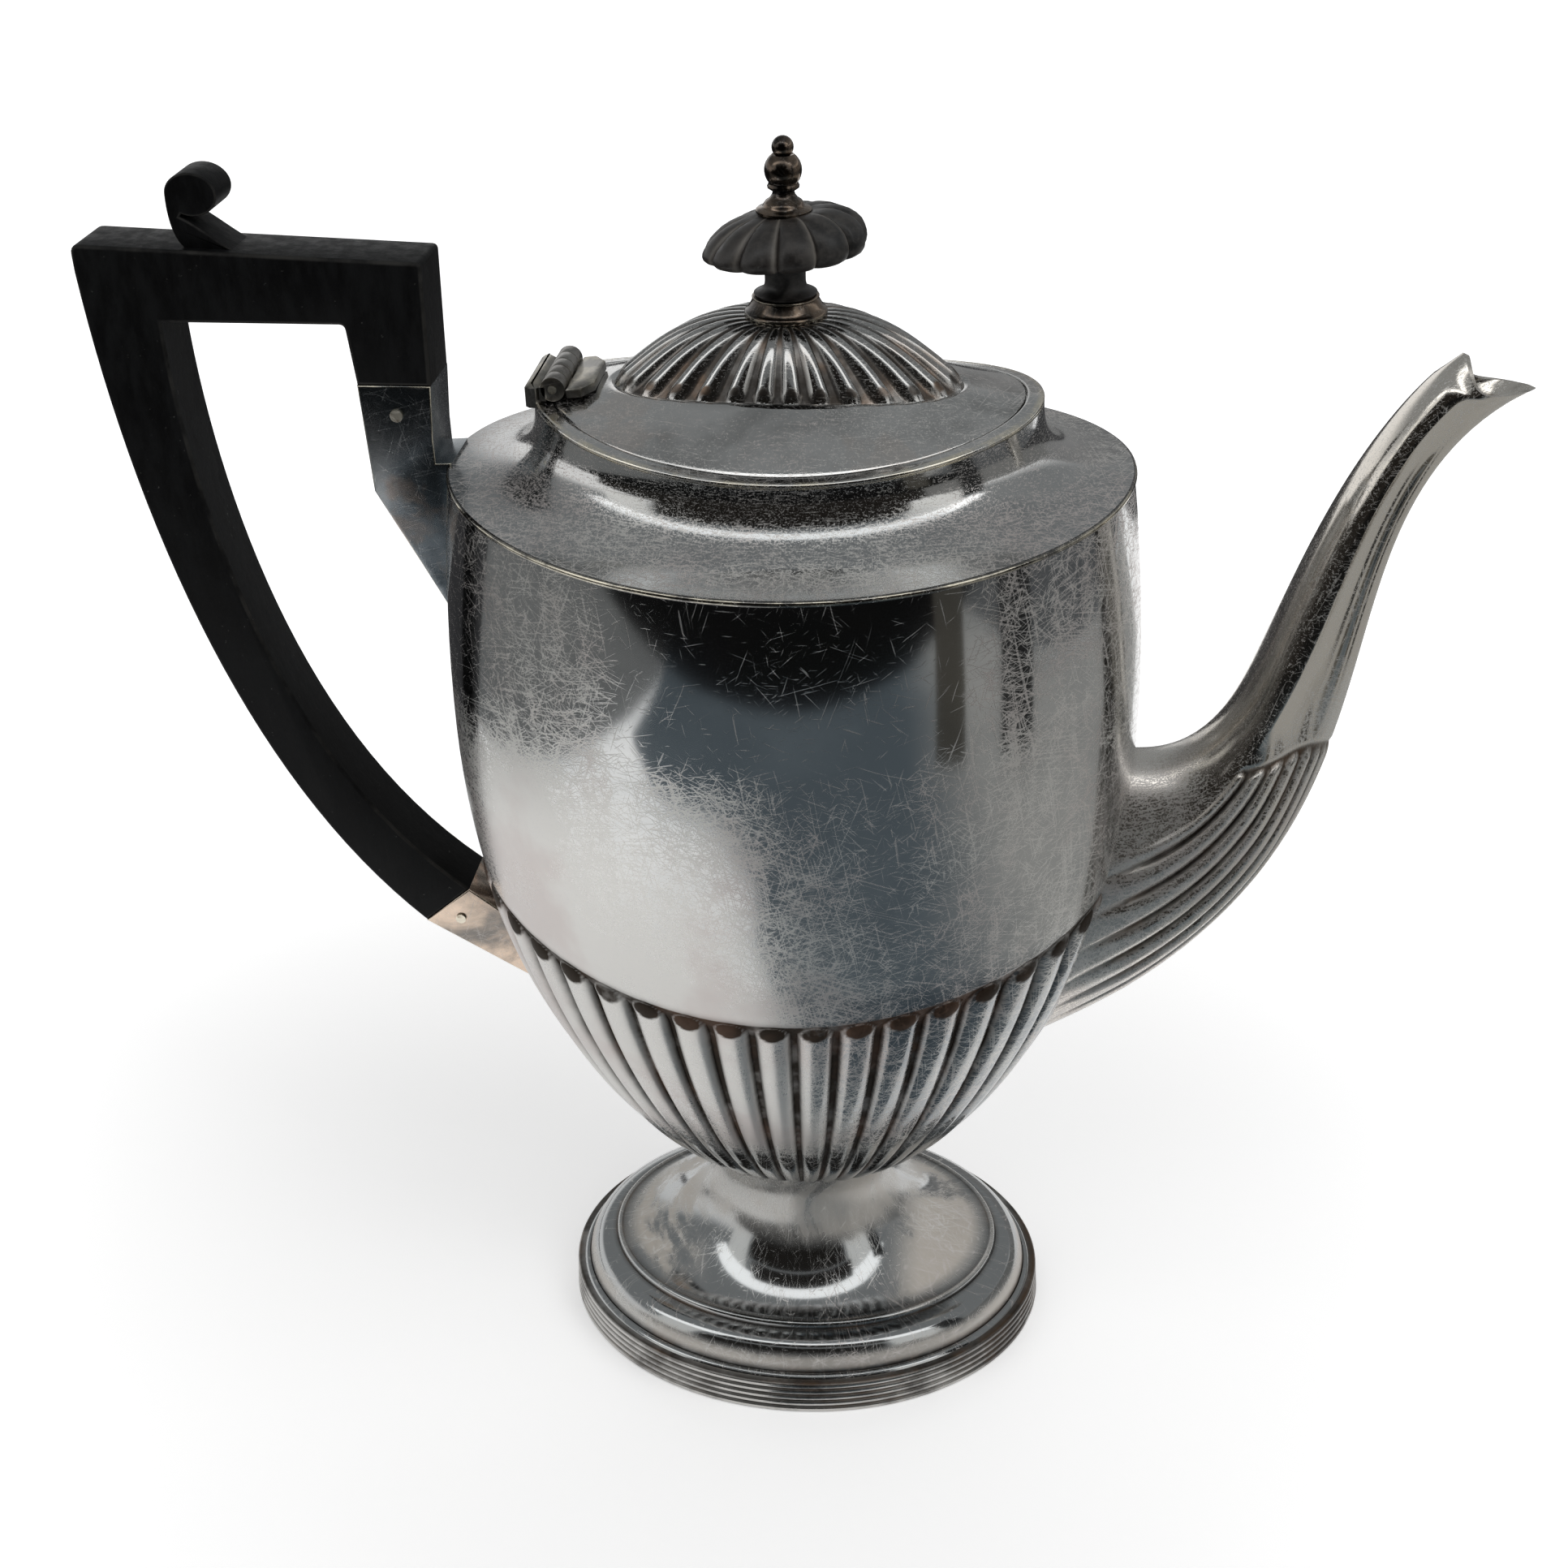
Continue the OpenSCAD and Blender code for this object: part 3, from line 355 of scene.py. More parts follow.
def build_patina_and_tip_shade(w, given):
    """Brown dirt that fills the grooves unevenly, and the painted dark reflection at the flute ends that
    shares its mark.
    """
    uneven = w.noise(given["Place"], 130.0, 4.0, 0.6)
    total = w.times(w.join("POWER", given["Groove"], 1.1), w.band(uneven, 0.25, 0.6, 0.55, 1.0))
    return w.times(total, given["Amount"], clamp=True)


def build_wear(w, given):
    """Wear that breaks up along an edge."""
    uneven = w.noise(given["Place"], given["Scale"], 4.0, 0.65)
    total = w.times(given["Edge"], w.band(uneven, 0.38, 0.62, 0.1, 1.0))
    return w.times(total, given["Amount"], clamp=True)


clouds = effect("tarnish_clouds", build_clouds, Scale=12.0, Cover=0.5, Softness=0.12)
strokes = effect("rubbing_strokes", build_strokes, Scale=40.0, Rubbing=0.4, Amount=0.7)
patina = effect("groove_patina_and_tip_shade", build_patina_and_tip_shade, Groove=0.0, Amount=0.9)
wear = effect("edge_wear", build_wear, Edge=0.0, Scale=180.0, Amount=0.8)

SILVER = (0.58, 0.58, 0.57)
TARNISH = (0.14, 0.165, 0.185)
CHALK = (0.64, 0.63, 0.605)
ROSE_CHALK = (0.575, 0.535, 0.515)
BROWN = (0.040, 0.030, 0.022)
RUST = (0.150, 0.098, 0.062)
COPPER = (0.66, 0.46, 0.34)
BRASS = (0.80, 0.74, 0.60)
HAZE_DULLS = 0.22
ROLLED_RADIUS = 0.055


def new_material(name):
    material = bpy.data.materials.new(name)
    material.use_nodes = True
    w = Wiring(material.node_tree)
    place = w.node("ShaderNodeTexCoord").outputs["Object"]
    return material, w, material.node_tree.nodes["Principled BSDF"], place


def laid_out(w, place, lay):
    """Place with the surface rolled out flat in X and Z: round an upright wall, or from above."""
    x, y, z = w.split(place)
    if lay == "around":
        flat = {0: w.scaled(w.join("ARCTAN2", y, x), ROLLED_RADIUS), 1: 0.0, 2: z}
    elif lay == "above":
        flat = {0: x, 1: z, 2: y}
    else:
        return place
    return w.node("ShaderNodeCombineXYZ", flat).outputs[0]


def silver_plate(
    name, silver=SILVER, tarnish=TARNISH, tarnish_cover=0.5, tarnish_scale=14.0, rubbing=0.4, chalk=0.6,
    gloss=0.08, copper=0.0, lay="side", drawn=None, cloud_haze=0.03, cloud_metal=1.0, ripple=0.35,
    rust=RUST, zones=None,
):
    """Worn silver plate: tarnish clouds, rubbed haze, brown grooves and worn edges; on the body and lid the
    zones and the groove mark also paint reflections.
    """
    material, w, shader, place = new_material(name)
    cloud_place = place
    if drawn is not None:
        cloud_place = w.stretched_place(place, (1, 1, 1), (0, drawn, 0))
        cloud_place = w.stretched_place(cloud_place, (1.6, 1.6, 0.25))
    cloud = w.use(clouds, Place=cloud_place, Scale=tarnish_scale, Cover=tarnish_cover, Softness=0.1)
    if zones is not None:
        cloud, rubbing = zones(w, place, cloud)
    colour = w.blend(cloud, silver, tarnish)
    haze = w.use(strokes, Place=laid_out(w, place, lay), Rubbing=rubbing, Amount=chalk)
    pale = w.blend(w.band(w.noise(place, 30.0, 4.0, 0.62), 0.42, 0.62), CHALK, ROSE_CHALK)
    colour = w.blend(haze, colour, pale)
    if copper:
        warm = w.band(w.noise(place, 55.0, 5.0, 0.62), 0.58, 0.66, 0.0, copper)
        colour = w.blend(warm, colour, COPPER)
    colour = w.blend(w.use(wear, Place=place, Edge=w.mark("edge")), colour, BRASS)
    # The groove mark is dirt in the grooves, and on the body and lid also the painted dark reflection at the
    # flute ends.
    dirt = w.use(patina, Place=place, Groove=w.mark("groove"))
    grime_and_tip_shade = w.blend(w.band(w.noise(place, 60.0, 4.0, 0.6), 0.46, 0.62), BROWN, rust)
    rough = w.plus(w.scaled(haze, 0.26, gloss), w.scaled(dirt, 0.35))
    height = w.plus(w.scaled(w.noise(place, 28.0, 2.0, 0.5), 0.5), w.scaled(haze, -0.02))
    finish = {
        "Base Color": w.blend(dirt, colour, grime_and_tip_shade),
        "Metallic": w.plus(w.scaled(haze, -HAZE_DULLS, 1.0), w.scaled(cloud, cloud_metal - 1.0), clamp=True),
        "Roughness": w.plus(rough, w.scaled(cloud, cloud_haze), clamp=True),
        "Normal": w.bump(height, 0.0006, ripple),
    }
    w.give(shader, finish)
    return material


def body_zones(w, place, cloud):
    """Thin tarnish all over, and a painted blue-grey reflection on the middle and on the low lobes right of
    the seam; rubbed most low towards the handle, and some towards the spout.
    """
    x, _, z = w.split(place)
    uneven = w.noise(place, 17.0, 5.0, 0.6)
    slant = w.plus(x, w.scaled(z, 1.04, -0.1165), w.scaled(uneven, 0.07, -0.035))
    seam = w.plus(x, w.most(w.scaled(z, 0.45, -0.053), 0.0), w.scaled(uneven, 0.05, -0.025))
    low = w.times(w.band(slant, -0.014, 0.020, 1.0, 0.0), w.band(z, 0.176, 0.156))
    low = w.times(low, w.band(seam, 0.008, -0.012))
    right = w.band(x, 0.004, 0.046, 0.0, 0.30)
    left = w.times(w.band(x, -0.018, -0.036, 0.0, 0.30), w.band(x, -0.058, -0.050))
    upright = w.stretched_place(laid_out(w, place, "around"), (300, 1, 22))
    streaks = w.noise(upright, 1.0, 3.0, 0.6)
    sides = w.most(right, left)
    sides = w.plus(sides, w.times(w.scaled(streaks, 2.4, -1.15), w.scaled(sides, 1.0, 0.12)))
    arch = w.times(w.band(z, 0.160, 0.172), w.band(x, 0.042, 0.026), w.band(x, -0.030, -0.014))
    worn = w.times(w.band(seam, -0.024, 0.0), w.band(seam, 0.034, 0.002), w.band(z, 0.178, 0.150))
    rubbing = w.join("SUBTRACT", w.plus(w.scaled(low, 0.64, 0.17), sides), w.scaled(arch, 0.60))
    rubbing = w.plus(rubbing, w.scaled(worn, 0.52), clamp=True)
    rubbing = w.times(rubbing, w.band(z, 0.056, 0.072, 0.1, 1.0))
    # Painted blue-grey reflection: more tarnish tone on the low lobes right of the seam, and on the middle
    # of the body.
    painted_lobe_reflection = w.times(w.band(z, 0.119, 0.113), w.band(seam, -0.012, 0.012, 0.1, 0.5))
    middle = w.times(w.band(slant, -0.02, 0.02), w.band(x, 0.05, 0.02))
    tarnish_and_reflection = w.plus(w.scaled(cloud, 0.24), w.scaled(middle, 0.12))
    return w.plus(tarnish_and_reflection, painted_lobe_reflection, clamp=True), rubbing


def shoulder_zones(w, place, cloud):
    """Bright round the collar, dull and scratched down towards the rim."""
    low = w.band(w.plus(w.split(place)[2], w.scaled(cloud, 0.002)), 0.2025, 0.2055, 1.0, 0.0)
    return w.most(w.scaled(cloud, 0.2), w.scaled(low, 0.42)), w.scaled(low, 0.26, 0.30)


def lid_zones(w, place, cloud):
    """Even grey on the flat border; darker and browner on the fluted dome, where the darker tone is partly
    tarnish and partly a painted dark reflection.
    """
    dome = w.band(w.split(place)[2], 0.2165, 0.2185)
    # The darker dome tone is tarnish and a painted dark reflection.
    return w.most(w.scaled(cloud, 0.7), w.scaled(dome, 0.42)), w.scaled(dome, -0.10, 0.30)


def spout_zones(w, place, cloud):
    """Streaked on the neck; on the reeds lighter and rubbed."""
    x, _, z = w.split(place)
    reeds = w.band(w.plus(z, w.scaled(x, -1.15)), 0.050, 0.040)
    root = w.times(w.band(x, 0.083, 0.074), w.scaled(reeds, -1.0, 1.0))
    rubbing = w.plus(w.scaled(reeds, 0.44, 0.26), w.scaled(root, 0.5))
    return w.times(cloud, w.scaled(reeds, -0.7, 1.0)), rubbing


def foot_zones(w, place, _):
    """Milky patches at the ends of the trumpet, a thin veil round its neck, and a bright bend on the milky
    worn step, which is partly wear and partly a painted highlight.
    """
    x, _, z = w.split(place)
    ragged = w.band(w.noise(place, 30.0, 7.0, 0.62, 0.9), 0.38, 0.50)
    ends = w.band(w.join("ABSOLUTE", x, 0.0), 0.018, 0.028)
    neck = w.times(w.band(z, 0.0245, 0.029), w.scaled(ragged, 0.35, 0.3))
    # The milky worn step is partly wear and partly a painted highlight on the bend.
    step = w.times(w.band(z, 0.0086, 0.0098), w.band(z, 0.0130, 0.0112))
    worn = w.times(step, w.scaled(ragged, 0.45, 0.30))
    milky = w.most(w.times(ragged, ends, w.band(z, 0.0155, 0.017)), worn)
    return w.most(milky, neck), w.scaled(milky, 0.3, 0.14)


# The body's dark grime colour serves the brown dirt in the grooves and the painted dark reflections at the
# flute ends.
body_plate = silver_plate(
    "body_plate", chalk=0.9, rust=(0.11, 0.068, 0.048), lay="around", zones=body_zones
)
shoulder_plate = silver_plate("shoulder_plate", chalk=0.8, gloss=0.1, lay="above", zones=shoulder_zones)
lid_plate = silver_plate(
    "lid_plate", tarnish=(0.165, 0.165, 0.16), tarnish_cover=0.45, chalk=0.7, copper=0.12,
    rust=(0.23, 0.145, 0.09), lay="above", zones=lid_zones,
)
spout_plate = silver_plate(
    "spout_plate", (0.70, 0.66, 0.60), (0.20, 0.18, 0.155), 0.42, 34.0, chalk=0.8, gloss=0.13,
    drawn=-0.45, zones=spout_zones,
)
foot_plate = silver_plate(
    "foot_plate", (0.40, 0.41, 0.41), (0.55, 0.51, 0.455), chalk=0.7, gloss=0.1, lay="around",
    cloud_haze=0.36, cloud_metal=0.2, zones=foot_zones,
)
reed_plate = silver_plate(
    "reed_plate", (0.52, 0.51, 0.49), (0.15, 0.145, 0.14), 0.5, 34.0, 0.1, 0.2, 0.2, ripple=0.1
)
socket_plate = silver_plate(
    "socket_plate", (0.52, 0.54, 0.555), (0.16, 0.185, 0.20), 0.5, 30.0, 0.12, 0.25, 0.2, copper=0.35
)
copper_plate = silver_plate(
    "copper_plate", (0.68, 0.54, 0.43), (0.21, 0.195, 0.18), 0.5, 40.0, 0.2, 0.3, 0.22, copper=0.85
)
hinge_plate = silver_plate(
    "hinge_plate", (0.30, 0.295, 0.28), (0.16, 0.15, 0.135), 0.5, 60.0, 0.15, 0.3, 0.3
)
wire_plate = silver_plate("wire_plate", tarnish=(0.1, 0.1, 0.1), tarnish_cover=0.75, rubbing=0.2)
pin_plate = silver_plate(
    "pin_plate", (0.74, 0.68, 0.56), (0.24, 0.17, 0.10), 0.4, 300.0, 0.1, gloss=0.3
)
dark_plate = silver_plate(
    "dark_plate", (0.21, 0.16, 0.12), (0.03, 0.027, 0.025), 0.5, 60.0, 0.2, 0.14, 0.17
)


def black_wood_material(name, lobed):
    """Ebonised hardwood: satin, with pores, pale dust in the grooves and rubbed edges."""
    material, w, shader, place = new_material(name)
    drawn = w.stretched_place(place, (1.0, 1.0, 1.0 if lobed else 0.3))
    grain = w.noise(drawn, 420.0, 5.0, 0.65)
    light_grain = (0.032, 0.029, 0.026) if lobed else (0.0055, 0.0058, 0.0062)
    colour = w.blend(w.band(grain, 0.35, 0.7), (0.003, 0.003, 0.0032), light_grain)
    stain = (0.022, 0.016, 0.012) if lobed else (0.008, 0.0088, 0.009)
    colour = w.blend(w.band(w.noise(place, 24.0, 3.0, 0.5), 0.45, 0.7, 0.0, 0.6), colour, stain)
    specks = w.band(w.noise(place, 900.0, 2.0, 0.7), 0.70, 0.78, 0.0, 0.35)
    colour = w.blend(specks, colour, (0.10, 0.10, 0.095))
    edge = w.use(wear, Place=place, Edge=w.mark("edge"), Scale=90.0, Amount=0.4)
    colour = w.blend(edge, colour, (0.05, 0.048, 0.044))
    dust = w.use(patina, Place=place, Groove=w.mark("groove"), Amount=0.6)
    finish = {
        "Base Color": w.blend(dust, colour, (0.30, 0.275, 0.24)),
        "Roughness": w.band(grain, 0.3, 0.7, 0.38, 0.55),
        "Specular IOR Level": 0.55 if lobed else 0.09,
        "Normal": w.bump(grain, 0.0002, 0.5),
    }
    w.give(shader, finish)
    return material


handle_wood = black_wood_material("handle_wood", False)
knob_wood_finish = black_wood_material("knob_wood_finish", True)

# ---- Body ----

FLUTES = 42
BODY_SIDES = 16 * FLUTES
BASE = (24.0, 17.5)
BELLY = (66.3, 52.6)
RIM = (62.4, 50.6)
SEAT = (20.5, 16.2)
FOOT_HEIGHT = 43.5
BELLY_HEIGHT = 150.0
RIM_HEIGHT = 201.1
BODY_TOP = 200.5
FLUTE_TOP = 120.0
FLUTE_DIP = 12.0
FLUTE_DEPTH = 1.35
LOBE_PROUD = 0.8
RIM_DIP = 4.1
COLLAR_DIP = 4.8
BODY_WALL = 1.2


def body_half(z, axis):
    """Half size of the body along X (axis 0) or Y (axis 1) at height z."""
    base, belly, rim = BASE[axis], BELLY[axis], RIM[axis]
    if z < BELLY_HEIGHT:
        fall = (BELLY_HEIGHT - max(z, FOOT_HEIGHT)) / (BELLY_HEIGHT - FOOT_HEIGHT)
        return base + (belly - base) * max(0.0, 1 - fall**2.1) ** 0.814
    return belly - (belly - rim) * ((z - BELLY_HEIGHT) / (RIM_HEIGHT - BELLY_HEIGHT)) ** 2


def body_x(y, z):
    return body_half(z, 0) * sqrt(max(0.0, 1 - (y / body_half(z, 1)) ** 2))


def body_dip(z):
    if z < FLUTE_TOP:
        return FLUTE_DIP * ((z - FOOT_HEIGHT) / (FLUTE_TOP - FOOT_HEIGHT)) ** 2
    return mix(FLUTE_DIP, RIM_DIP, (z - FLUTE_TOP) / (BODY_TOP - FLUTE_TOP))


def flute_inset(z, across):
    """Depth below the plain body, and its groove mark: dirt down in the grooves, and a painted dark
    reflection in the round end of each flute.
    """
    below = FLUTE_TOP - z
    if below < 0 or z < FOOT_HEIGHT:
        return 0.0, 0.5 * ease(-1.6, 0.0, below)
    half_pitch = pi * (body_half(z, 0) + body_half(z, 1)) / 2 / FLUTES
    tip = 0.9 * half_pitch
    crown = lobe(across, 0.86, max(0.0, (tip - below) / tip))
    proud = mix(LOBE_PROUD, 0.45, ease(0, 45, below))
    valley = min(FLUTE_DEPTH, 0.46 * half_pitch) * ease(-1, 7, below)
    inset = valley - (valley + proud) * crown
    # Painted dark reflection in the round end of the flute, kept in the groove mark with the dirt.
    tip_shade = 1.5 * shadow_spot(across / 0.66, (below - 2.4) / 2.3)
    return inset * ease(FOOT_HEIGHT - 0.3, FOOT_HEIGHT + 1.8, z), max(tip_shade, 1.2 - 1.4 * crown, 0.0)


def body_row(z, inside=False):
    ring, groove = [], []
    for i in range(BODY_SIDES):
        s = TURN * i / BODY_SIDES
        t = even_angle(s, *BELLY)
        h = z - body_dip(z) * sin(t) ** 2
        inset, deep = flute_inset(z, lobe_place(s, FLUTES))
        if inside:
            inset, deep = BODY_WALL + FLUTE_DEPTH * ease(-4, 4, FLUTE_TOP - z), 0.0
        x = (body_half(h, 0) - inset) * cos(t)
        y = (body_half(h, 1) - inset) * sin(t)
        ring.append((x, y, h))
        # The groove mark holds dirt in the grooves and the painted dark reflection at the flute ends.
        groove.append(deep)
    return ring, groove


BODY_LEVELS = [43.9, 44.6, 45.5, 46.5, 47.6, 49.0, 50.6, 52.5, 54.7, 57.2, 60, 63, 66.5, 70, 74, 78]
BODY_LEVELS += [82, 86, 90, 94, 98, 101.5, 104.5, 107, 109, 110.8, 112.3, 113.6, 114.7, 115.6]
BODY_LEVELS += [116.4, 117.1, 117.7, 118.25, 118.7, 119.1, 119.45, 119.75, 120.0, 120.3, 120.65]
BODY_LEVELS += [121.1, 121.7, 123, 126, 130, 135, 140, 145, 150, 156, 162, 168, 174, 180, 185, 190]
BODY_LEVELS += [194, 197, 199.2, BODY_TOP]
INSIDE_LEVELS = (BODY_TOP, 185, 165, 148, 132, 120, 108, 96, 84, 72, 62, 54, 48.5, 46.5)


def make_body():
    rows = [(oval(*SEAT, FOOT_HEIGHT, 0.0, BODY_SIDES), 0.6)]
    rows += [body_row(z) for z in BODY_LEVELS] + [body_row(z, True) for z in INSIDE_LEVELS]
    grooved_piece(
        "fluted_body", rows, body_plate, "pot", ["body_shell"], "silver_plate", loop=False
    )


make_body()

# ---- Shoulder, rim wire and bezel ----

COLLAR = (45.9, 32.5)
COLLAR_HEIGHT = 214.6
SHEET = 1.0
WIRE = 0.62


def shoulder_row(u, inset=0.0, drop=0.0):
    z = mix(RIM_HEIGHT, COLLAR_HEIGHT - SHEET, u**1.9) - drop
    return inset_oval(between(COLLAR, RIM, (1 - u) ** 2.2), inset, z, mix(RIM_DIP, COLLAR_DIP, u))


def make_shoulder():
    steps = 26
    bottom = [inset_oval(RIM, inset, BODY_TOP, RIM_DIP) for inset in (SHEET, 0.2)]
    outer = [shoulder_row(i / steps) for i in range(steps + 1)]
    inner = [shoulder_row(i / 8, SHEET, 0 if i == 8 else SHEET) for i in range(8, 0, -1)]
    ring_piece(
        "swept_shoulder", bottom + outer + inner, shoulder_plate, "pot", ["shoulder_cover"], "silver_plate"
    )
    turns = [TURN * k / 10 for k in range(10)]
    wire = [
        inset_oval(RIM, -WIRE * cos(a), BODY_TOP + WIRE * sin(a), RIM_DIP) for a in turns
    ]
    # Brass on the outer turns of the wire: partly wear, partly a painted bright highlight line.
    worn = [1.0, 1.0] + [0.0] * 8
    ring_piece(
        "rim_bead", wire, wire_plate, "pot", ["rim_wire"], "worn_plate", marks={"edge": worn}, corner=60
    )


def make_bezel():
    profile = [(4, 2.6), (0.2, 1.0), (0.02, 0.75), (0, 0.45), (0.12, 0.2), (0.35, 0.04), (0.7, 0)]
    profile += [(1.4, 0.06), (2.4, 0.02), (2.8, 0), (2.95, 0.08), (3, 0.25), (3, 1.6), (4, 1.6)]
    rings = [inset_oval(COLLAR, inset, COLLAR_HEIGHT - drop, COLLAR_DIP) for inset, drop in profile]
    worn = [0.0] + [1.0] * 6 + [0.0] * 7
    ring_piece(
        "lid_bezel", rings, shoulder_plate, "pot", ["collar_bezel"], "silver_plate", marks={"edge": worn}
    )


make_shoulder()
make_bezel()

# ---- Foot ----

FOOT = (52.9, 42.0)
FOOT_RIM_HEIGHT = 7.9
FOOT_SHEET = 1.1
REEDS = 5
REED_DEPTH = 0.5
RIDGE_INSET = 10.4
RIDGE_HEIGHT = 16.2
TRUMPET = tuple(half - RIDGE_INSET - 1 for half in FOOT)
NECK = (17.8, 15.4)
NECK_TOP = 0.85 * FOOT_HEIGHT
SEAT_LOW = 37.0


def trumpet_row(u, sheet=0.0):
    z = mix(RIDGE_HEIGHT - 0.4, NECK_TOP, u**1.25) - sheet * (1 - u)
    return inset_oval(between(NECK, TRUMPET, (1 - u) ** 2), sheet, z)


def make_foot():
    steps = [(2.0, 7.9), (2.3, 8.3), (2.75, 8.55), (3.2, 8.6), (3.33, 8.4), (3.5, 9.3), (3.75, 10.4)]
    steps += [(4.16, 11.4), (4.8, 12.4), (5.62, 13.4), (6.6, 14.15), (7.7, 14.55), (8.7, 14.75)]
    steps += [(9.5, 14.85), (9.78, 14.88), (9.85, 15.3), (10.0, 15.8), (10.2, 16.1), (10.45, 16.2)]
    steps += [(10.75, 16.1), (11.1, 15.85)]
    rings = [inset_oval(FOOT, *step) for step in steps] + [trumpet_row(i / 30) for i in range(31)]
    for u in (0.2, 0.4, 0.6, 0.8, 1.0):
        rings.append(oval(*between(NECK, SEAT, ease(0, 1, u)), mix(SEAT_LOW, FOOT_HEIGHT, u)))
    rings.append(inset_oval(NECK, FOOT_SHEET, FOOT_HEIGHT))
    rings += [trumpet_row(u / 10, FOOT_SHEET) for u in range(10, -1, -1)]
    rings += [inset_oval(FOOT, 8.1, 12.5), inset_oval(FOOT, 4.6, FOOT_RIM_HEIGHT)]
    dirty = {4: 1.0, 3: 0.4, 5: 0.6, 13: 0.5, 14: 1.0, 15: 0.6, 20: 0.8, 21: 0.5}
    rows = [(ring, dirty.get(k, 0.0)) for k, ring in enumerate(rings)]
    grooved_piece("trumpet_foot", rows, foot_plate, "pot", ["foot"], "silver_plate")


def make_foot_rim():
    reed = FOOT_RIM_HEIGHT / REEDS
    profile = [(6.0, 0.0, 0.0), (REED_DEPTH + 0.1, 0.0, 0.3)]
    for i in range(REEDS):
        taper = 0.2 * i * REED_DEPTH
        for k in range(7):
            crown = (1 - abs(mix(-1, 1, k / 6)) ** 2.4) ** 0.6
            z = (i + 0.04 + 0.92 * k / 6) * reed
            profile.append((taper + REED_DEPTH * (1 - crown), z, min(1.0, 1.5 * (1 - crown))))
    profile += [(2.0, FOOT_RIM_HEIGHT, 0.4), (6.0, FOOT_RIM_HEIGHT, 0.0)]
    rows = [(inset_oval(FOOT, inset, z), dirt) for inset, z, dirt in profile]
    grooved_piece("reeded_rim", rows, reed_plate, "pot", ["foot_rim"], "silver_plate")


make_foot()
make_foot_rim()

# ---- Spout ----

SPOUT_SIDES = 360
SPOUT_WALL = 1.1
ROOT_HALF_WIDTH = 15
LIP_HALF_WIDTH = 5.2
ROOT_LOW = (body_x(0, 74.8) - 0.5, 74.8)
ROOT_HIGH = (body_x(0, 142.2) - 0.5, 142.2)
LIP = (130.0, 217.3)
TONGUE = (117.0, 223.3)
FRONT_CURVE = stretched(ROOT_LOW, LIP, [(0.63, 0.22), (0.74, 0.46), (0.71, 0.67), (0.66, 0.89)])
BACK_CURVE = stretched(ROOT_HIGH, TONGUE, [(0.39, -0.01), (0.43, 0.21), (0.5, 0.56), (0.745, 0.87)])
CREASE = cos(radians(105))
REED_TOP = -0.5
NOSE = cos(radians(60))
NOSE_SHARE = 0.55
MOUTH_WIDE = cos(radians(120))
SPOUT_REED = radians(15)
REED_TIP = 0.016


def reeded_end(a):
    """How far up the spout the reed at a runs."""
    return 0.357 + 0.147 * a - 0.055 * a * a


def neck_side(a, crease):
    """Half width of the upper neck from its back (-1) over the side crease to the nose (1)."""
    if a < crease:
        return sqrt(max(0.0, 1 - ((crease - a) / (1 + crease)) ** 2))
    if a < NOSE:
        return mix(NOSE_SHARE, 1, ((NOSE - a) / (NOSE - crease)) ** 2.2)
    return NOSE_SHARE * sqrt(max(0.0, 1 - ((a - NOSE) / (1 - NOSE)) ** 2))


def mouth_side(a):
    """Half width of the mouth, which narrows from its widest place forward to the lip."""
    if a < MOUTH_WIDE:
        return sqrt(max(0.0, 1 - ((MOUTH_WIDE - a) / (1 + MOUTH_WIDE)) ** 2))
    return max(0.0, 1 - ((a - MOUTH_WIDE) / (1 - MOUTH_WIDE)) ** 2) ** 0.8


def spout_row(u, wall):
    """Ring of the spout at u, from the body (0) to the mouth (1), with reeds on its lower front."""
    front, back = curve_point(FRONT_CURVE, u), curve_point(BACK_CURVE, u)
    reach = dist(front, back) / 2
    neck = ease(0.27, 0.47, u)
    crease = mix(REED_TOP, CREASE, ease(0.26, 0.6, u))
    mouth = ease(0.8, 1, u)
    half_width = mix(LIP_HALF_WIDTH, ROOT_HALF_WIDTH, (1 - u) ** 1.3) - wall
    ring, groove = [], []
    for i in range(SPOUT_SIDES):
        t = TURN * i / SPOUT_SIDES
        a = cos(t)
        share = mix(mix(abs(sin(t)), neck_side(a, crease), neck), mouth_side(a), mouth)
        reed, deep = 0.0, 0.0
        if wall == 0:
            end = reeded_end(a)
            ending = max(0.0, (u - end + REED_TIP) / REED_TIP)
            crown = lobe(lobe_place(t + SPOUT_REED / 2, TURN / SPOUT_REED), 0.9, ending)
            pitch = SPOUT_REED * hypot(reach * sin(t), half_width * a)
            strength = ease(REED_TOP - 0.03, REED_TOP + 0.03, a) * min(1, 12 * u)
            strength *= 1 - ease(end, end + 0.012, u)
            reed = strength * min(1.6, 0.32 * pitch) * (crown - 0.62)
            deep = strength * max(0.0, 1.1 - 1.3 * crown)
        scale = (reach - wall + reed) / reach
        x, z = ((f + b) / 2 + (f - b) / 2 * a * scale for f, b in zip(front, back))
        y = copysign(1, sin(t)) * share * (half_width + reed)
        if abs(sin(t)) < 1e-9:
            y = 0.0
        rest = (1 - a) / 2
        sag = 6 * rest * (1 - rest**8) * ease(0.93, 1, u)
        if u == 0:
            ring.append((body_x(y, z) - 0.5, y, z))
        else:
            ring.append((x, y, z - sag))
        groove.append(deep)
    return ring, groove


def make_spout():
    stations = [i / 60 for i in range(61)] + [0.25 + i / 240 for i in range(52)]
    stations = sorted(set(round(s, 4) for s in stations))
    rows = [spout_row(u, 0) for u in reversed(stations)]
    rows += [spout_row(u, SPOUT_WALL) for u in sorted({*stations[::2], 1.0})]
    grooved_piece(
        "swan_neck_spout", rows, spout_plate, "pot", ["spout"], "silver_plate", corner=50
    )


make_spout()

# ---- Handle ----

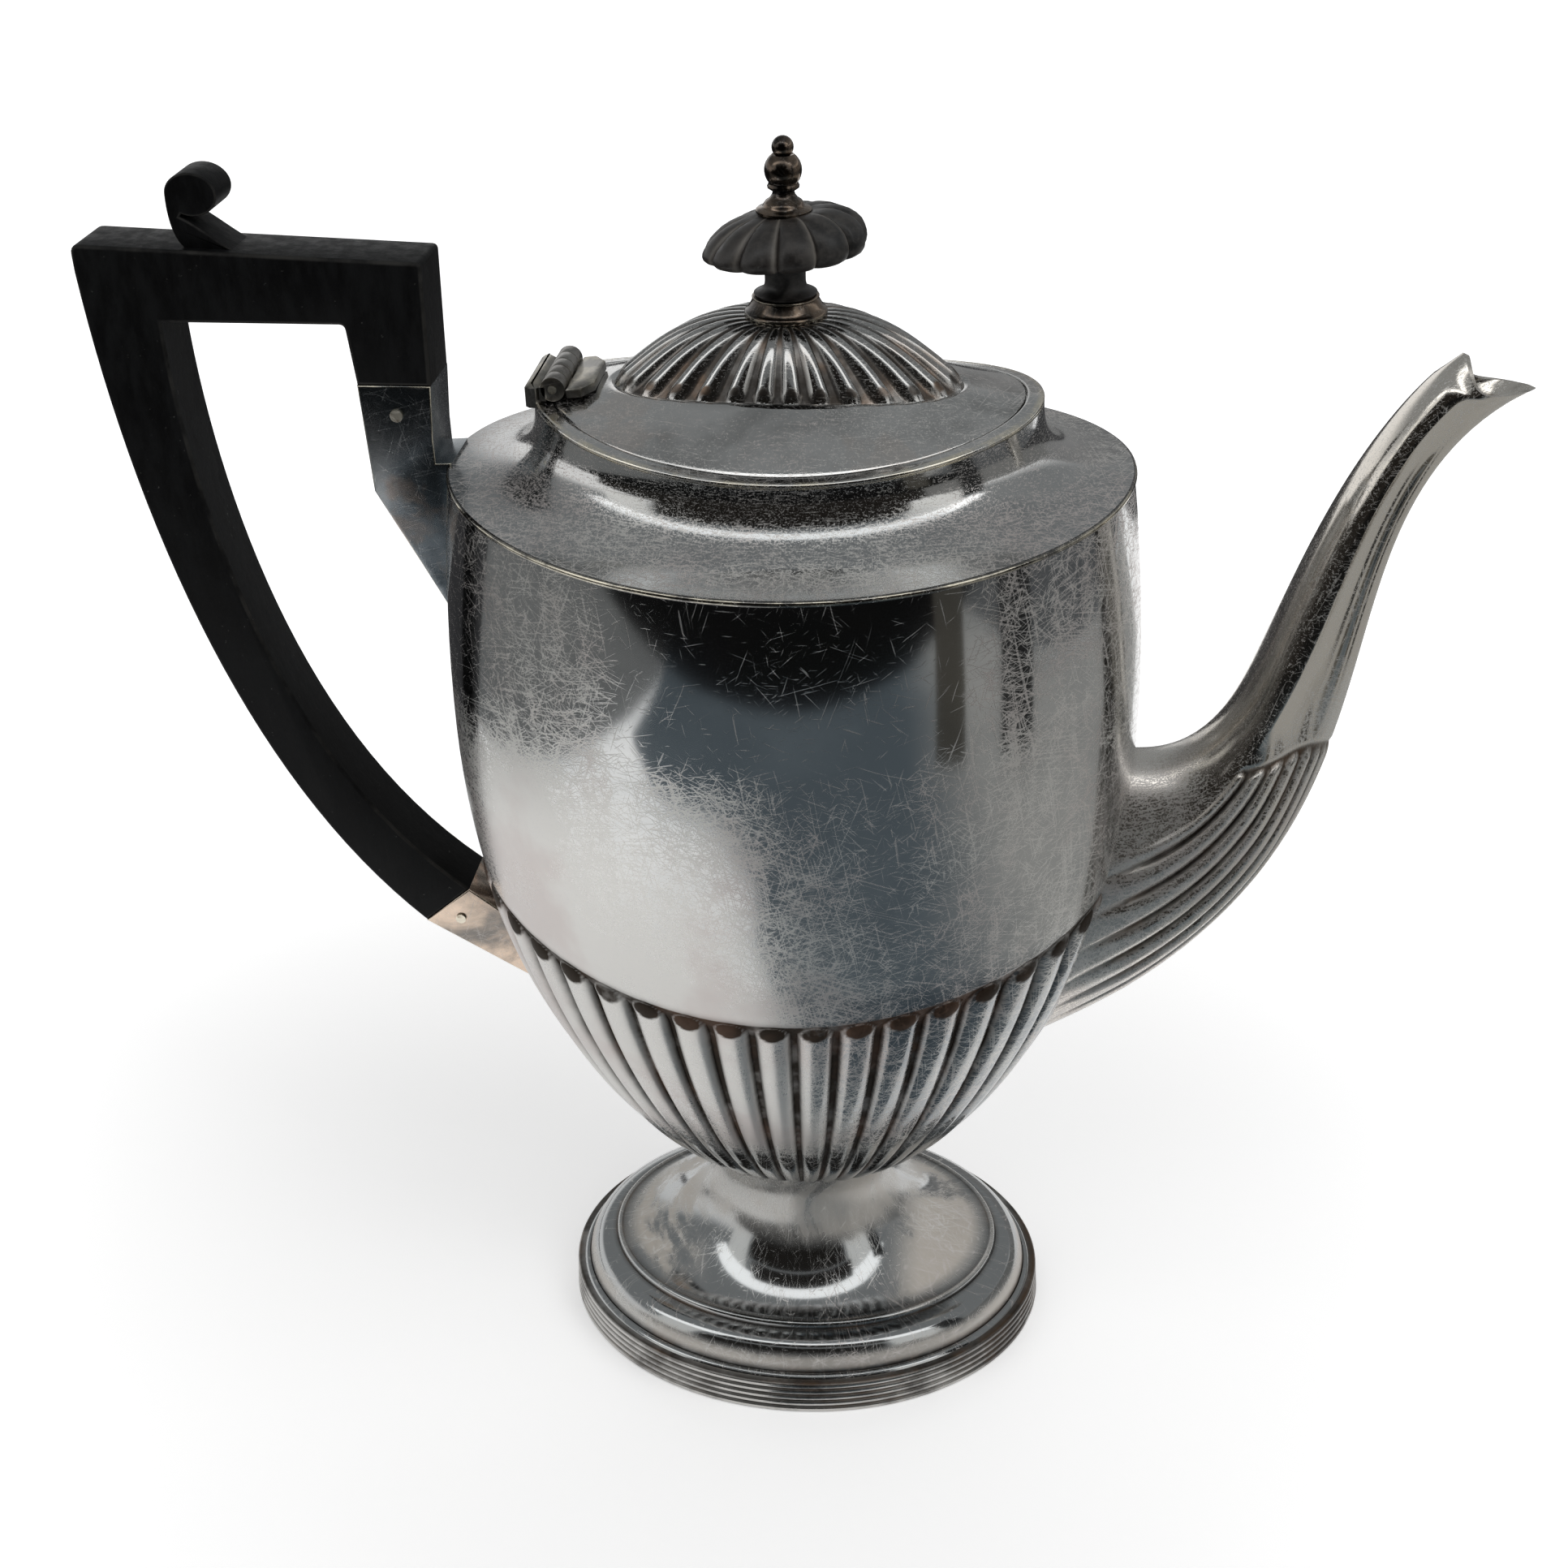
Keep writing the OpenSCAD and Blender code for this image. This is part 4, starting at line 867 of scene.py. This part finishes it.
HANDLE_WIDTH = 12.9
HANDLE_REACH = 126.7
HANDLE_TOP = 241.3
ARM_LEFT = -77.5
ARM_RIGHT = -63.9
ARM_JOINT = 216.2
LOW_JOINT = (-72.5, 103.5)
LOW_CUT = radians(40)
LOW_HALF_WIDTH = 6.4
LOW_HALF = (cos(LOW_CUT) * LOW_HALF_WIDTH, sin(LOW_CUT) * LOW_HALF_WIDTH)
LOW_OUTER = (LOW_JOINT[0] - LOW_HALF[0], LOW_JOINT[1] - LOW_HALF[1])
LOW_INNER = (LOW_JOINT[0] + LOW_HALF[0], LOW_JOINT[1] + LOW_HALF[1])
GRIP_DEPTH = 14.5
BAR_DEPTH = 14.0
BAR_FALL = 2.6
GRIP_EDGE = 0.7
SCROLL = (-103.8, 249.7)
SCROLL_RADIUS = 4.7
SCROLL_HALF_HEIGHT = 3.8
SCROLL_WIDTH = 8.6
SCROLL_EDGE = 0.4


def softened(outline, radii):
    """Outline with the corners named in radii (index to radius) rounded."""
    result = []
    for i, corner in enumerate(outline):
        if i not in radii:
            result.append(corner)
            continue
        here = Vector(corner)
        before = (Vector(outline[i - 1]) - here).normalized()
        after = (Vector(outline[(i + 1) % len(outline)]) - here).normalized()
        for k in range(6):
            start, end = here + before * radii[i], here + after * radii[i]
            result.append(curve_point([tuple(start), corner, tuple(end)], k / 5))
    return result


def make_grip():
    steps = 30
    bar_low = HANDLE_TOP - BAR_DEPTH
    grip_outer = stretched((-HANDLE_REACH, HANDLE_TOP - 5), LOW_OUTER, [(0.045, 0.343), (0.32, 0.765)])
    inner_start = (GRIP_DEPTH - HANDLE_REACH, bar_low)
    grip_inner = stretched(inner_start, LOW_INNER, [(-0.007, 0.273), (0.18, 0.758)])
    right_top = HANDLE_TOP - BAR_FALL
    outline = [curve_point(grip_outer, i / steps) for i in range(steps + 1)]
    outline += [curve_point(grip_inner, i / steps) for i in range(steps, -1, -1)]
    inner_corner = len(outline)
    outline += [(ARM_LEFT - 1.0, bar_low), (ARM_LEFT, ARM_JOINT), (ARM_RIGHT, ARM_JOINT)]
    outline += [(ARM_RIGHT + 0.7, right_top), (-HANDLE_REACH, HANDLE_TOP)]
    outline = softened(outline, {inner_corner: 1.0, inner_corner + 3: 1.1, inner_corner + 4: 1.8})
    rounded_slab(
        "wooden_grip", outline, HANDLE_WIDTH, GRIP_EDGE, handle_wood, "pot", ["handle_grip"], "black_wood"
    )


def make_scroll():
    x, roll_z = SCROLL
    radius = SCROLL_RADIUS
    foot_right, foot_left = x + 1.35 * radius, x - 0.45 * radius
    bar_z = HANDLE_TOP - 0.1 - BAR_FALL * (foot_right + HANDLE_REACH) / (HANDLE_REACH + ARM_RIGHT)
    drop = roll_z - bar_z
    tail_out = [(x - radius, roll_z), (x - 1.05 * radius, roll_z - 0.4 * drop)]
    tail_out += [(x - 0.95 * radius, roll_z - 0.85 * drop), (foot_left, bar_z)]
    tail_in = [(foot_right, bar_z), (x + 0.8 * radius, bar_z + 0.14 * drop)]
    tail_in += [(x + 0.1 * radius, bar_z + 0.45 * drop), (x - 0.55 * radius, roll_z - 0.4 * drop)]
    roll = [
        (x + radius * cos(a), roll_z + SCROLL_HALF_HEIGHT * sin(a))
        for a in (radians(-118 + 298 * k / 40) for k in range(41))
    ]
    outline = roll + [curve_point(tail_out, k / 12) for k in range(1, 13)]
    outline += [curve_point(tail_in, k / 12) for k in range(13)]
    rounded_slab(
        "thumb_scroll", outline, SCROLL_WIDTH, SCROLL_EDGE, handle_wood, "pot", ["handle_scroll"],
        "black_wood",
    )


make_grip()
make_scroll()

# ---- Handle sockets ----

SOCKET_EDGE = 0.35


def body_side(inset, low, high, steps):
    """Points up the body's handle side, this far inside it."""
    levels = [mix(low, high, k / steps) for k in range(steps + 1)]
    return [(inset - body_x(0, z), z) for z in levels]


def make_sockets():
    ledge = ARM_RIGHT - 0.6
    outline = body_side(0.5, RIM_HEIGHT - 28.6, RIM_HEIGHT - 2, 8)
    outline += [(0.9 - RIM[0], RIM_HEIGHT + 0.5), (ledge, RIM_HEIGHT + 0.3), (ledge, RIM_HEIGHT + 5)]
    outline += [(ARM_RIGHT, ARM_JOINT), (ARM_LEFT, ARM_JOINT), (ARM_LEFT + 0.8, RIM_HEIGHT - 5.4)]
    rounded_slab(
        "upper_socket", outline, HANDLE_WIDTH, SOCKET_EDGE, socket_plate, "pot",
        ["upper_handle_socket"], "silver_plate",
    )
    high = LOW_JOINT[1] - 4.5
    outline = body_side(1.9, high - 16, high, 6) + [LOW_INNER, LOW_OUTER]
    rounded_slab(
        "lower_socket", outline, HANDLE_WIDTH, SOCKET_EDGE, copper_plate, "pot",
        ["lower_handle_socket"], "silver_plate",
    )


make_sockets()

# ---- Lid ----

LID_FLUTES = 28
LID_SIDES = 16 * LID_FLUTES
LID = (42.6, 29.2)
LID_SHEET = 0.9
BORDER_RISE = 1.6
DOME = (31.5, 16.5)
DOME_LIFT = 2.2
DOME_TOP = 228.6
DOME_DROP = 2.2
DOME_TIP = 0.10
KNOB_SEAT = (7.0, 7.0)
KNOB_SHEET = 1.7
SHANK = 1.4


def dome_row(u, drop=0.0, fluted=True):
    rise = sin(pi / 2 * u) ** 1.05
    length, width = between(KNOB_SEAT, DOME, (1 - u) ** 0.9)
    ring, groove = [], []
    for i in range(LID_SIDES):
        s = TURN * i / LID_SIDES
        t = even_angle(s, *DOME)
        edge = COLLAR_HEIGHT + BORDER_RISE + DOME_LIFT * sin(t) ** 2
        depth, deep = 0.0, 0.0
        if fluted:
            across = lobe_place(s, LID_FLUTES)
            crown = lobe(across, 0.66, max(0.0, (DOME_TIP - u) / DOME_TIP))
            pitch = pi * (length + width) / LID_FLUTES
            depth = (0.20 * (1 - crown) - 0.16 * crown) * pitch * ease(-0.02, 0.03, u)
            depth *= 1 - 0.7 * ease(0.3, 0.85, u)
            # Painted dark reflection in the round end of each dome flute, kept in the groove mark with the
            # dirt.
            tip_shade = shadow_spot(across / 0.42, (u - 0.06) / 0.036)
            deep = max(tip_shade, (1 - 1.2 * crown) * ease(0, 0.05, u), 0.0)
        ring.append((length * cos(t), width * sin(t), mix(edge, DOME_TOP, rise) - drop - depth))
        groove.append(deep)
    return ring, groove


def border_row(u, drop=0.0):
    z = mix(COLLAR_HEIGHT, COLLAR_HEIGHT + BORDER_RISE, ease(-0.1, 1.35, u) * 1.12)
    return oval(*between(LID, DOME, u), z - drop, mix(COLLAR_DIP, -DOME_LIFT, u**0.9), LID_SIDES), 0.0


def make_lid():
    rows = [border_row(0, LID_SHEET), border_row(0, 0.25)]
    rows.append((inset_oval(LID, 0.15, COLLAR_HEIGHT + 0.02, COLLAR_DIP, LID_SIDES), 0.0))
    rows += [border_row(u) for u in (0.06, 0.15, 0.3, 0.45, 0.6, 0.75, 0.88, 0.96)]
    stops = [0, 0.006, 0.014, 0.024, 0.036, 0.05, 0.066, 0.085, 0.11, 0.14, 0.18, 0.23, 0.29]
    rows += [dome_row(u) for u in stops + [0.36, 0.44, 0.53, 0.62, 0.71, 0.8, 0.88, 0.94, 1]]
    for radius, drop in ((5.5, 0), (SHANK, 0), (SHANK, KNOB_SHEET), (5.5, KNOB_SHEET)):
        rows.append((circle_ring(radius, DOME_TOP - drop, LID_SIDES), 0.0))
    rows += [dome_row(u, DOME_DROP, False) for u in (1, 0.8, 0.6, 0.4, 0.2, 0)]
    rows.append(border_row(0.5, LID_SHEET))
    grooved_piece("fluted_lid", rows, lid_plate, "lid", ["lid_shell"], "silver_plate", corner=50)


make_lid()

# ---- Knob ----

STEM_Z = DOME_TOP + 3.6
STEM = 3.6
CAP_Z = 238.8
CAP_HEIGHT = 7.8
FINIAL_Z = CAP_Z + CAP_HEIGHT
KNOB_LOBES = 12
CAP_SIDES = 12 * KNOB_LOBES
CAP = (14.5, 12.7)
LEAN = 2.1
CAP_LAYERS = [(0.5, 0.22, 0.9), (0.66, 0.06, 0.9), (0.8, 0.02, 0.92), (0.9, 0.28, 0.95)]
CAP_LAYERS += [(0.96, 0.7, 1.05), (0.99, 1.25, 1.2), (1.0, 1.9, 1.42), (0.995, 2.6, 1.6)]
CAP_LAYERS += [(0.975, 3.4, 1.8), (0.94, 4.3, 2.0), (0.88, 5.2, 2.1), (0.80, 6.1, 2.1)]
CAP_LAYERS += [(0.7, 6.85, 2.1), (0.6, 7.35, 2.05), (0.5, 7.6, 1.9), (0.42, 7.75, 1.6), (0.36, 7.8, 1.2)]
FINIAL_BALL = 3.25
FINIAL_TIP = 1.9
FINIAL_HEIGHT = 12.9


def raised(profile, z):
    return [(r, z + h) for r, h in profile]


def arc(radius, middle, start, step):
    """Eleven points of a turned round, from a starting angle in degrees."""
    angles = [radians(start + step * k) for k in range(11)]
    return [(radius * cos(a), middle + radius * sin(a)) for a in angles]


def make_knob_foot():
    profile = [(SHANK, 0), (7.2, 0), (7.35, 0.2), (7.38, 0.5), (7.3, 0.8), (7.1, 1.0), (6.85, 1.15)]
    profile += [(6.5, 1.7), (6.1, 2.4), (5.85, 2.9), (5.8, 3.05), (5.95, 3.2), (5.95, 3.35)]
    profile += [(5.8, 3.55), (5.6, 3.6), (SHANK, 3.6)]
    worn = {2: 0.3, 3: 0.4, 11: 0.5, 12: 0.5}
    turned_piece(
        "knob_foot", raised(profile, DOME_TOP), dark_plate, "lid", ["knob_base"], "dark_plate",
        corner=50, marks={"edge": [worn.get(k, 0.0) for k in range(len(profile))]},
    )


def cap_row(share, height, lean):
    """Lobed ring of the knob's cap, which leans towards the spout."""
    ring, groove = [], []
    for i in range(CAP_SIDES):
        t = TURN * i / CAP_SIDES
        crown = lobe(lobe_place(t, KNOB_LOBES), 1.0)
        cut = 1.35 * (1 - crown) * ease(0.36, 0.9, share)
        tilt = min(lean, LEAN) * share * cos(t)
        sink = 0.35 * (1 - crown) * ease(0.3, 0.8, share) if height > 3 else 0
        x, y = ((half * share - cut) * side for half, side in zip(CAP, (cos(t), sin(t))))
        ring.append((x, y, CAP_Z + height + tilt - sink))
        flank = lobe(lobe_place(t + 0.05, KNOB_LOBES), 1.0)
        groove.append(max(0.0, 1 - 1.1 * flank) ** 2.2 * (1 if height > 0.2 else 0.4))
    return ring, groove


def make_knob():
    foot = [(SHANK, 0), (5.4, 0.05), (5.6, 0.4)]
    for k in range(6):
        a = radians(18 * k)
        foot.append((STEM + 2 * (1 - sin(a)), 0.4 + 2 * (1 - cos(a))))
    foot += [(STEM, 4.3), (3.62, 6.0), (3.9, 6.7), (4.5, 7.15)]
    rows = [(circle_ring(r, z, CAP_SIDES), 0.0) for r, z in raised(foot, STEM_Z)]
    rows += [cap_row(*layer) for layer in CAP_LAYERS]
    rows += [(circle_ring(r, FINIAL_Z, CAP_SIDES), 0.0) for r in (4.4, SHANK)]
    grooved_piece(
        "lobed_knob", rows, knob_wood_finish, "lid", ["knob_wood"], "black_wood", loop=False
    )


def make_finial():
    profile = [(0.3, 0), (4.7, 0), (4.85, 0.12), (4.85, 0.5), (4.6, 0.72), (3.9, 0.85), (3.6, 1.1)]
    profile += [(3.5, 1.5), (3.2, 1.9), (2.5, 2.4), (2.1, 2.9), (1.9, 3.35), (1.95, 3.7), (2.4, 3.95)]
    profile += [(2.75, 4.2), (2.8, 4.55), (2.6, 4.85)]
    ball_middle = FINIAL_HEIGHT - 2 * FINIAL_TIP - 0.6 * FINIAL_BALL
    profile += arc(FINIAL_BALL, ball_middle, -38, 9.2)
    profile += arc(FINIAL_TIP, FINIAL_HEIGHT - FINIAL_TIP, -54, 12.8) + [(0.25, FINIAL_HEIGHT - 0.005)]
    turned_piece(
        "turned_finial", raised(profile, FINIAL_Z), dark_plate, "lid", ["knob_finial"], "dark_plate",
        corner=45,
    )


make_knob_foot()
make_knob()
make_finial()

# ---- Hinge ----

HINGE = (-41.1, 216.9)
KNUCKLE = 2.25
HINGE_LENGTH = 17.2
KNUCKLES = 5
KNUCKLE_GAP = 0.12
KNUCKLE_LENGTH = (HINGE_LENGTH - (KNUCKLES - 1) * KNUCKLE_GAP) / KNUCKLES
SHIELD_REACH = 7.2


class Leaf:
    """Closed shapes that make up one leaf of the hinge."""

    def __init__(self):
        self.points, self.faces, self.edges = [], [], []

    def add(self, rings, worn, loop=False):
        """Adds a shape from its rings and the wear of each ring."""
        first, sides = len(self.points), len(rings[0])
        self.points += [p for ring in rings for p in ring]
        self.edges += [w for w in worn for _ in range(sides)]
        self.faces += [tuple(first + v for v in face) for face in skin_faces(len(rings), sides, loop)]

    def barrel(self, y_from, bore):
        """Adds one knuckle with softened, worn ends round the hinge's axis."""
        profile = [(bore, 0.0), (KNUCKLE - 0.12, 0.0), (KNUCKLE - 0.03, 0.04), (KNUCKLE, 0.13)]
        profile += [(r, KNUCKLE_LENGTH - y) for r, y in reversed(profile)]
        turns = [TURN * k / 40 for k in range(40)]
        rings = [
            [(HINGE[0] + r * cos(a), y_from + y, HINGE[1] + r * sin(a)) for a in turns]
            for r, y in profile
        ]
        self.add(rings, [0.4 if KNUCKLE - 0.2 < r < KNUCKLE else 0.0 for r, _ in profile], True)

    def block(self, low, high, corner):
        """Adds a plate with softened edges between two corners."""
        outline = []
        for sx, sy in ((0, 0), (1, 0), (1, 1), (0, 1)):
            x, y = (low[0], high[0])[sx], (low[1], high[1])[sy]
            dx, dy = (corner, -corner)[sx], (corner, -corner)[sy]
            pair = [(x + dx, y), (x, y + dy)]
            outline += pair if (sx, sy) in ((1, 0), (0, 1)) else pair[::-1]
        mid_x, mid_y, _ = between(low, high, 0.5)
        rings = [
            [
                (x + copysign(inset, mid_x - x), y + copysign(inset, mid_y - y), z)
                for x, y in outline
            ]
            for z, inset in ((low[2], 0), (high[2] - corner, 0), (high[2], corner))
        ]
        self.add(rings, (0.0, 0.0, 0.6))

    def shield(self, near, half):
        """Adds the pointed plate that lies on the lid."""
        outline = [(near, -half), (SHIELD_REACH - 2, -half), (SHIELD_REACH, 3 - half)]
        outline += [(x, -y) for x, y in reversed(outline)]
        slope = atan2(BORDER_RISE, COLLAR[0] - DOME[0])
        rings = []
        for inset, lift in ((0, 0), (0, 1.45), (0.25, 1.7)):
            ring = []
            for x, y in outline:
                along = x - inset if x > SHIELD_REACH - 3 else x + inset
                ring.append((
                    HINGE[0] + along * cos(slope) - lift * sin(slope),
                    y - copysign(inset, y),
                    HINGE[1] - 1.85 + along * sin(slope) + lift * cos(slope),
                ))
            rings.append(ring)
        self.add(rings, (0.0, 0.7, 0.7))

    def finish(self, name, *role):
        new_piece(name, self.points, self.faces, hinge_plate, *role, {"edge": self.edges})


def make_hinge():
    x, z = HINGE
    half = HINGE_LENGTH / 2
    right = x - KNUCKLE - KNUCKLE_GAP
    near = KNUCKLE + KNUCKLE_GAP + 0.2
    knuckles = [i * (KNUCKLE_LENGTH + KNUCKLE_GAP) - half for i in range(KNUCKLES)]
    leaf = Leaf()
    for y in knuckles[::2]:
        leaf.barrel(y, 0.85)
        leaf.block((right - 0.1, y, z - KNUCKLE), (x - 0.6 * KNUCKLE, y + KNUCKLE_LENGTH, z + 0.4), 0.05)
    leaf.block((-COLLAR[0] - 0.4, -half, COLLAR_HEIGHT - 1.2), (right, half, z + 0.9), 0.8)
    leaf.finish("hinge_collar_leaf", "pot", ["hinge_body_leaf"], "silver_plate")
    leaf = Leaf()
    for y in knuckles[1::2]:
        leaf.barrel(y, 0.86)
        low = (x + 0.6 * KNUCKLE, y, z - KNUCKLE + 0.1)
        leaf.block(low, (x + near + 0.4, y + KNUCKLE_LENGTH, z - 0.2), 0.05)
    leaf.shield(near, half)
    leaf.finish("hinge_shield", "lid", ["hinge_lid_leaf"], "silver_plate")


make_hinge()

# ---- Finishes of the CAD pieces that stay ----

for node, material in (
    ("spout_strainer", wire_plate),
    ("upper_handle_pin", pin_plate),
    ("lower_handle_pin", pin_plate),
    ("hinge_pin", pin_plate),
    ("lid_flange", lid_plate),
    ("knob_washer", wire_plate),
    ("knob_nut", wire_plate),
):
    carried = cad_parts[node]
    carried.data.materials.clear()
    carried.data.materials.append(material)

# ---- Floor, light and camera ----

PALE = 1.0
CEILING = (0.29, 0.30, 0.305)
SKY_LIGHT = 0.46
NEAR_LIFT = 0.32
FAR_LIFT = 0.66
CARD_LIFT = 0.001
ROOM_REACH = 4.0
TABLE_EDGE = -0.443
LENS = 48.45
CAMERA_PLACE = (41.1, -359.5, 347.8)
CAMERA_TURN = (6.9, -30.8, 1.4)


def seen_directly(w):
    """1 for the rays that show a background: straight, mirrored or through glass."""
    path = w.node("ShaderNodeLightPath").outputs
    mirrored = w.most(path["Is Camera Ray"], path["Is Glossy Ray"])
    return w.most(mirrored, path["Is Transmission Ray"])


def make_floor():
    mesh = bpy.data.meshes.new("floor")
    reach = 8.0
    corners = [(-reach, -reach, 0), (reach, -reach, 0), (reach, reach, 0), (-reach, reach, 0)]
    mesh.from_pydata(corners, [], [(0, 1, 2, 3)])
    floor = placed("floor", mesh)
    material, w, shader, place = new_material("floor_paper")
    away = w.node("ShaderNodeVectorMath", {0: place}, operation="LENGTH").outputs["Value"]
    lift = w.band(away, 0.09, 0.36, NEAR_LIFT, FAR_LIFT)
    finish = {
        "Base Color": (0.88, 0.88, 0.88),
        "Roughness": 0.9,
        "Specular IOR Level": 0.0,
        "Emission Color": (1, 1, 1),
        "Emission Strength": w.times(seen_directly(w), lift),
    }
    w.give(shader, finish)
    mesh.materials.append(material)


def make_lamp(name, place, aim, brightness, width, height, mirrored=True):
    """Soft box of the given brightness; the silver mirrors it if mirrored is set."""
    lamp = bpy.data.lights.new(name, "AREA")
    lamp.shape = "RECTANGLE"
    lamp.size = width
    lamp.size_y = height
    lamp.energy = brightness * pi * width * height
    holder = placed(name, lamp)
    holder.visible_glossy = mirrored
    holder.location = place
    holder.rotation_mode = "QUATERNION"
    holder.rotation_quaternion = (Vector(aim) - Vector(place)).to_track_quat("-Z", "Y")


def reflection_card(name, points, colour, right_colour=None):
    """Flat patch, in metres, that only the silver mirrors; it may change to another colour at the right."""
    mesh = bpy.data.meshes.new(name)
    mesh.from_pydata(points, [], [tuple(range(len(points)))])
    card = placed(name, mesh)
    for rays in ("camera", "diffuse", "transmission", "shadow"):
        setattr(card, "visible_" + rays, False)
    material, w, shader, place = new_material(name)
    glow = colour
    if right_colour is not None:
        x, y, _ = w.split(place)
        across = w.plus(x, w.scaled(y, 0.48), w.scaled(w.noise(place, 9.0), 0.08, -0.04))
        glow = w.blend(w.band(across, 0.03, 0.20), colour, right_colour)
    finish = {
        "Base Color": (0, 0, 0),
        "Specular IOR Level": 0.0,
        "Emission Color": glow,
        "Emission Strength": 1.0,
    }
    w.give(shader, finish)
    mesh.materials.append(material)


def floor_patch(name, outline, colour, right_colour=None):
    reflection_card(name, [(x, y, CARD_LIFT) for x, y in outline], colour, right_colour)


def upright_card(name, start, end, low, high, colour):
    """Upright card over the line on the floor from start to end."""
    reflection_card(name, [(*start, low), (*end, low), (*end, high), (*start, high)], colour)


def standing_card(name, place, width, height, colour):
    """Upright card that faces the pot, like a thing that stands on the table."""
    x, y = place
    across = width / 2 / hypot(x, y)
    upright_card(
        name, (x - y * across, y + x * across), (x + y * across, y - x * across), 0.0, height, colour
    )


def make_room():
    """Cards for the silver to mirror: a dark room beyond the table, walls, two windows and two bottles."""
    far, edge = ROOM_REACH, TABLE_EDGE
    left_curve = [(-0.334, 0.10), (-0.329, -0.115), (-0.298, -0.252), (-0.269, -0.383)]
    left = [(-0.26, edge), (-far, edge), (-far, 0.10)] + left_curve
    floor_patch("room_left", left, (0.20, 0.205, 0.205))
    corner = [(-far, 0.10), (-0.334, 0.10), (-0.25, 0.11), (-0.17, 0.18), (-0.10, 0.45), (-far, 0.45)]
    floor_patch("room_left_back", corner, (0.04, 0.04, 0.042))
    floor_patch("room_front", [(-far, -far), (far, -far), (far, edge), (-far, edge)], (0.006, 0.006, 0.006))
    floor_patch("room_right", [(0.50, edge), (far, edge), (far, 0.45), (0.52, 0.45)], (0.115, 0.12, 0.125))
    floor_patch("room_back", [(-far, 0.45), (far, 0.45), (far, far), (-far, far)], (0.05, 0.05, 0.052))
    patch = [(-0.262, edge), (-0.262, -0.30), (-0.19, -0.275), (-0.10, -0.285), (-0.036, -0.235)]
    patch += [(-0.029, -0.176), (-0.017, -0.148), (-0.010, -0.123), (-0.007, -0.089), (-0.005, -0.045)]
    patch += [(0.06, -0.045), (0.12, -0.03), (0.18, 0.12), (0.24, 0.32), (0.51, 0.40), (0.50, edge)]
    floor_patch("table_front", patch, (0.120, 0.146, 0.166), (0.37, 0.37, 0.36))
    front = [(-far, 0.0), (far, 0.0), (far, 0.6), (1.1, 0.6), (1.1, 1.6), (-1.5, 1.6), (-1.5, 0.6)]
    front.append((-far, 0.6))
    reflection_card("room_front_wall", [(x, -1.6, z) for x, z in front], (0.02, 0.018, 0.016))
    upright_card("front_flag", (-0.15, -0.19), (0.15, -0.19), 0.20, 0.312, (0.015, 0.013, 0.011))
    for name, left, right in (("window_left", -3.2, -1.6), ("window_right", 1.2, 2.8)):
        upright_card(name, (left, -1.58), (right, -1.58), 0.7, 2.4, (0.95, 0.95, 0.93))
    upright_card("room_right_wall", (1.6, -1.6), (1.6, 1.6), 0.0, 0.60, (0.22, 0.22, 0.215))
    upright_card("room_back_wall", (-0.1, 2.0), (far, 2.0), 0.0, 0.95, (0.26, 0.26, 0.26))
    standing_card("dark_bottle", (0.34, -0.155), 0.075, 0.36, (0.022, 0.022, 0.022))
    standing_card("brown_bottle", (0.255, -0.265), 0.055, 0.16, (0.075, 0.070, 0.060))


def make_world():
    """Plain pale studio, which the silver mirrors as pale walls up to a low line under a dim ceiling."""
    world = bpy.data.worlds.new("studio")
    bpy.context.scene.world = world
    world.use_nodes = True
    w = Wiring(world.node_tree)
    direction = w.node("ShaderNodeTexCoord").outputs["Generated"]
    up = w.split(direction)[2]
    room = w.blend(w.band(up, 0.20, 0.40), (PALE, PALE, PALE), CEILING)
    light = w.blend(seen_directly(w), (SKY_LIGHT, SKY_LIGHT, SKY_LIGHT), room)
    w.give(world.node_tree.nodes["Background"], {"Color": light})


def make_camera():
    camera_data = bpy.data.cameras.new("camera")
    camera_data.lens = LENS
    camera_data.sensor_width = 36
    camera_data.clip_start = 0.01
    camera = placed("camera", camera_data)
    yaw, pitch, roll = (radians(a) for a in CAMERA_TURN)
    turn = Matrix.Rotation(yaw, 3, "Z") @ Matrix.Rotation(pitch, 3, "X") @ Matrix.Rotation(roll, 3, "Y")
    right, forward, up = turn.col
    pose = Matrix((right, up, -forward)).transposed().to_4x4()
    pose.translation = Vector(CAMERA_PLACE) * MM
    camera.matrix_world = pose
    bpy.context.scene.camera = camera


make_floor()
make_world()
make_room()
make_lamp("key", (0.85, -0.35, 0.95), (0, 0, 0.1), 2.6, 0.75, 0.55, False)
make_lamp("fill", (0.0, 1.3, 1.6), (0, 1.3, 0), 0.8, 1.5, 1.0, False)
make_lamp("front_strip", (0.0, -0.70, 1.36), (0, 0, 0.05), 1.6, 4.0, 0.34)
make_camera()
bpy.context.scene.view_settings.view_transform = "Standard"
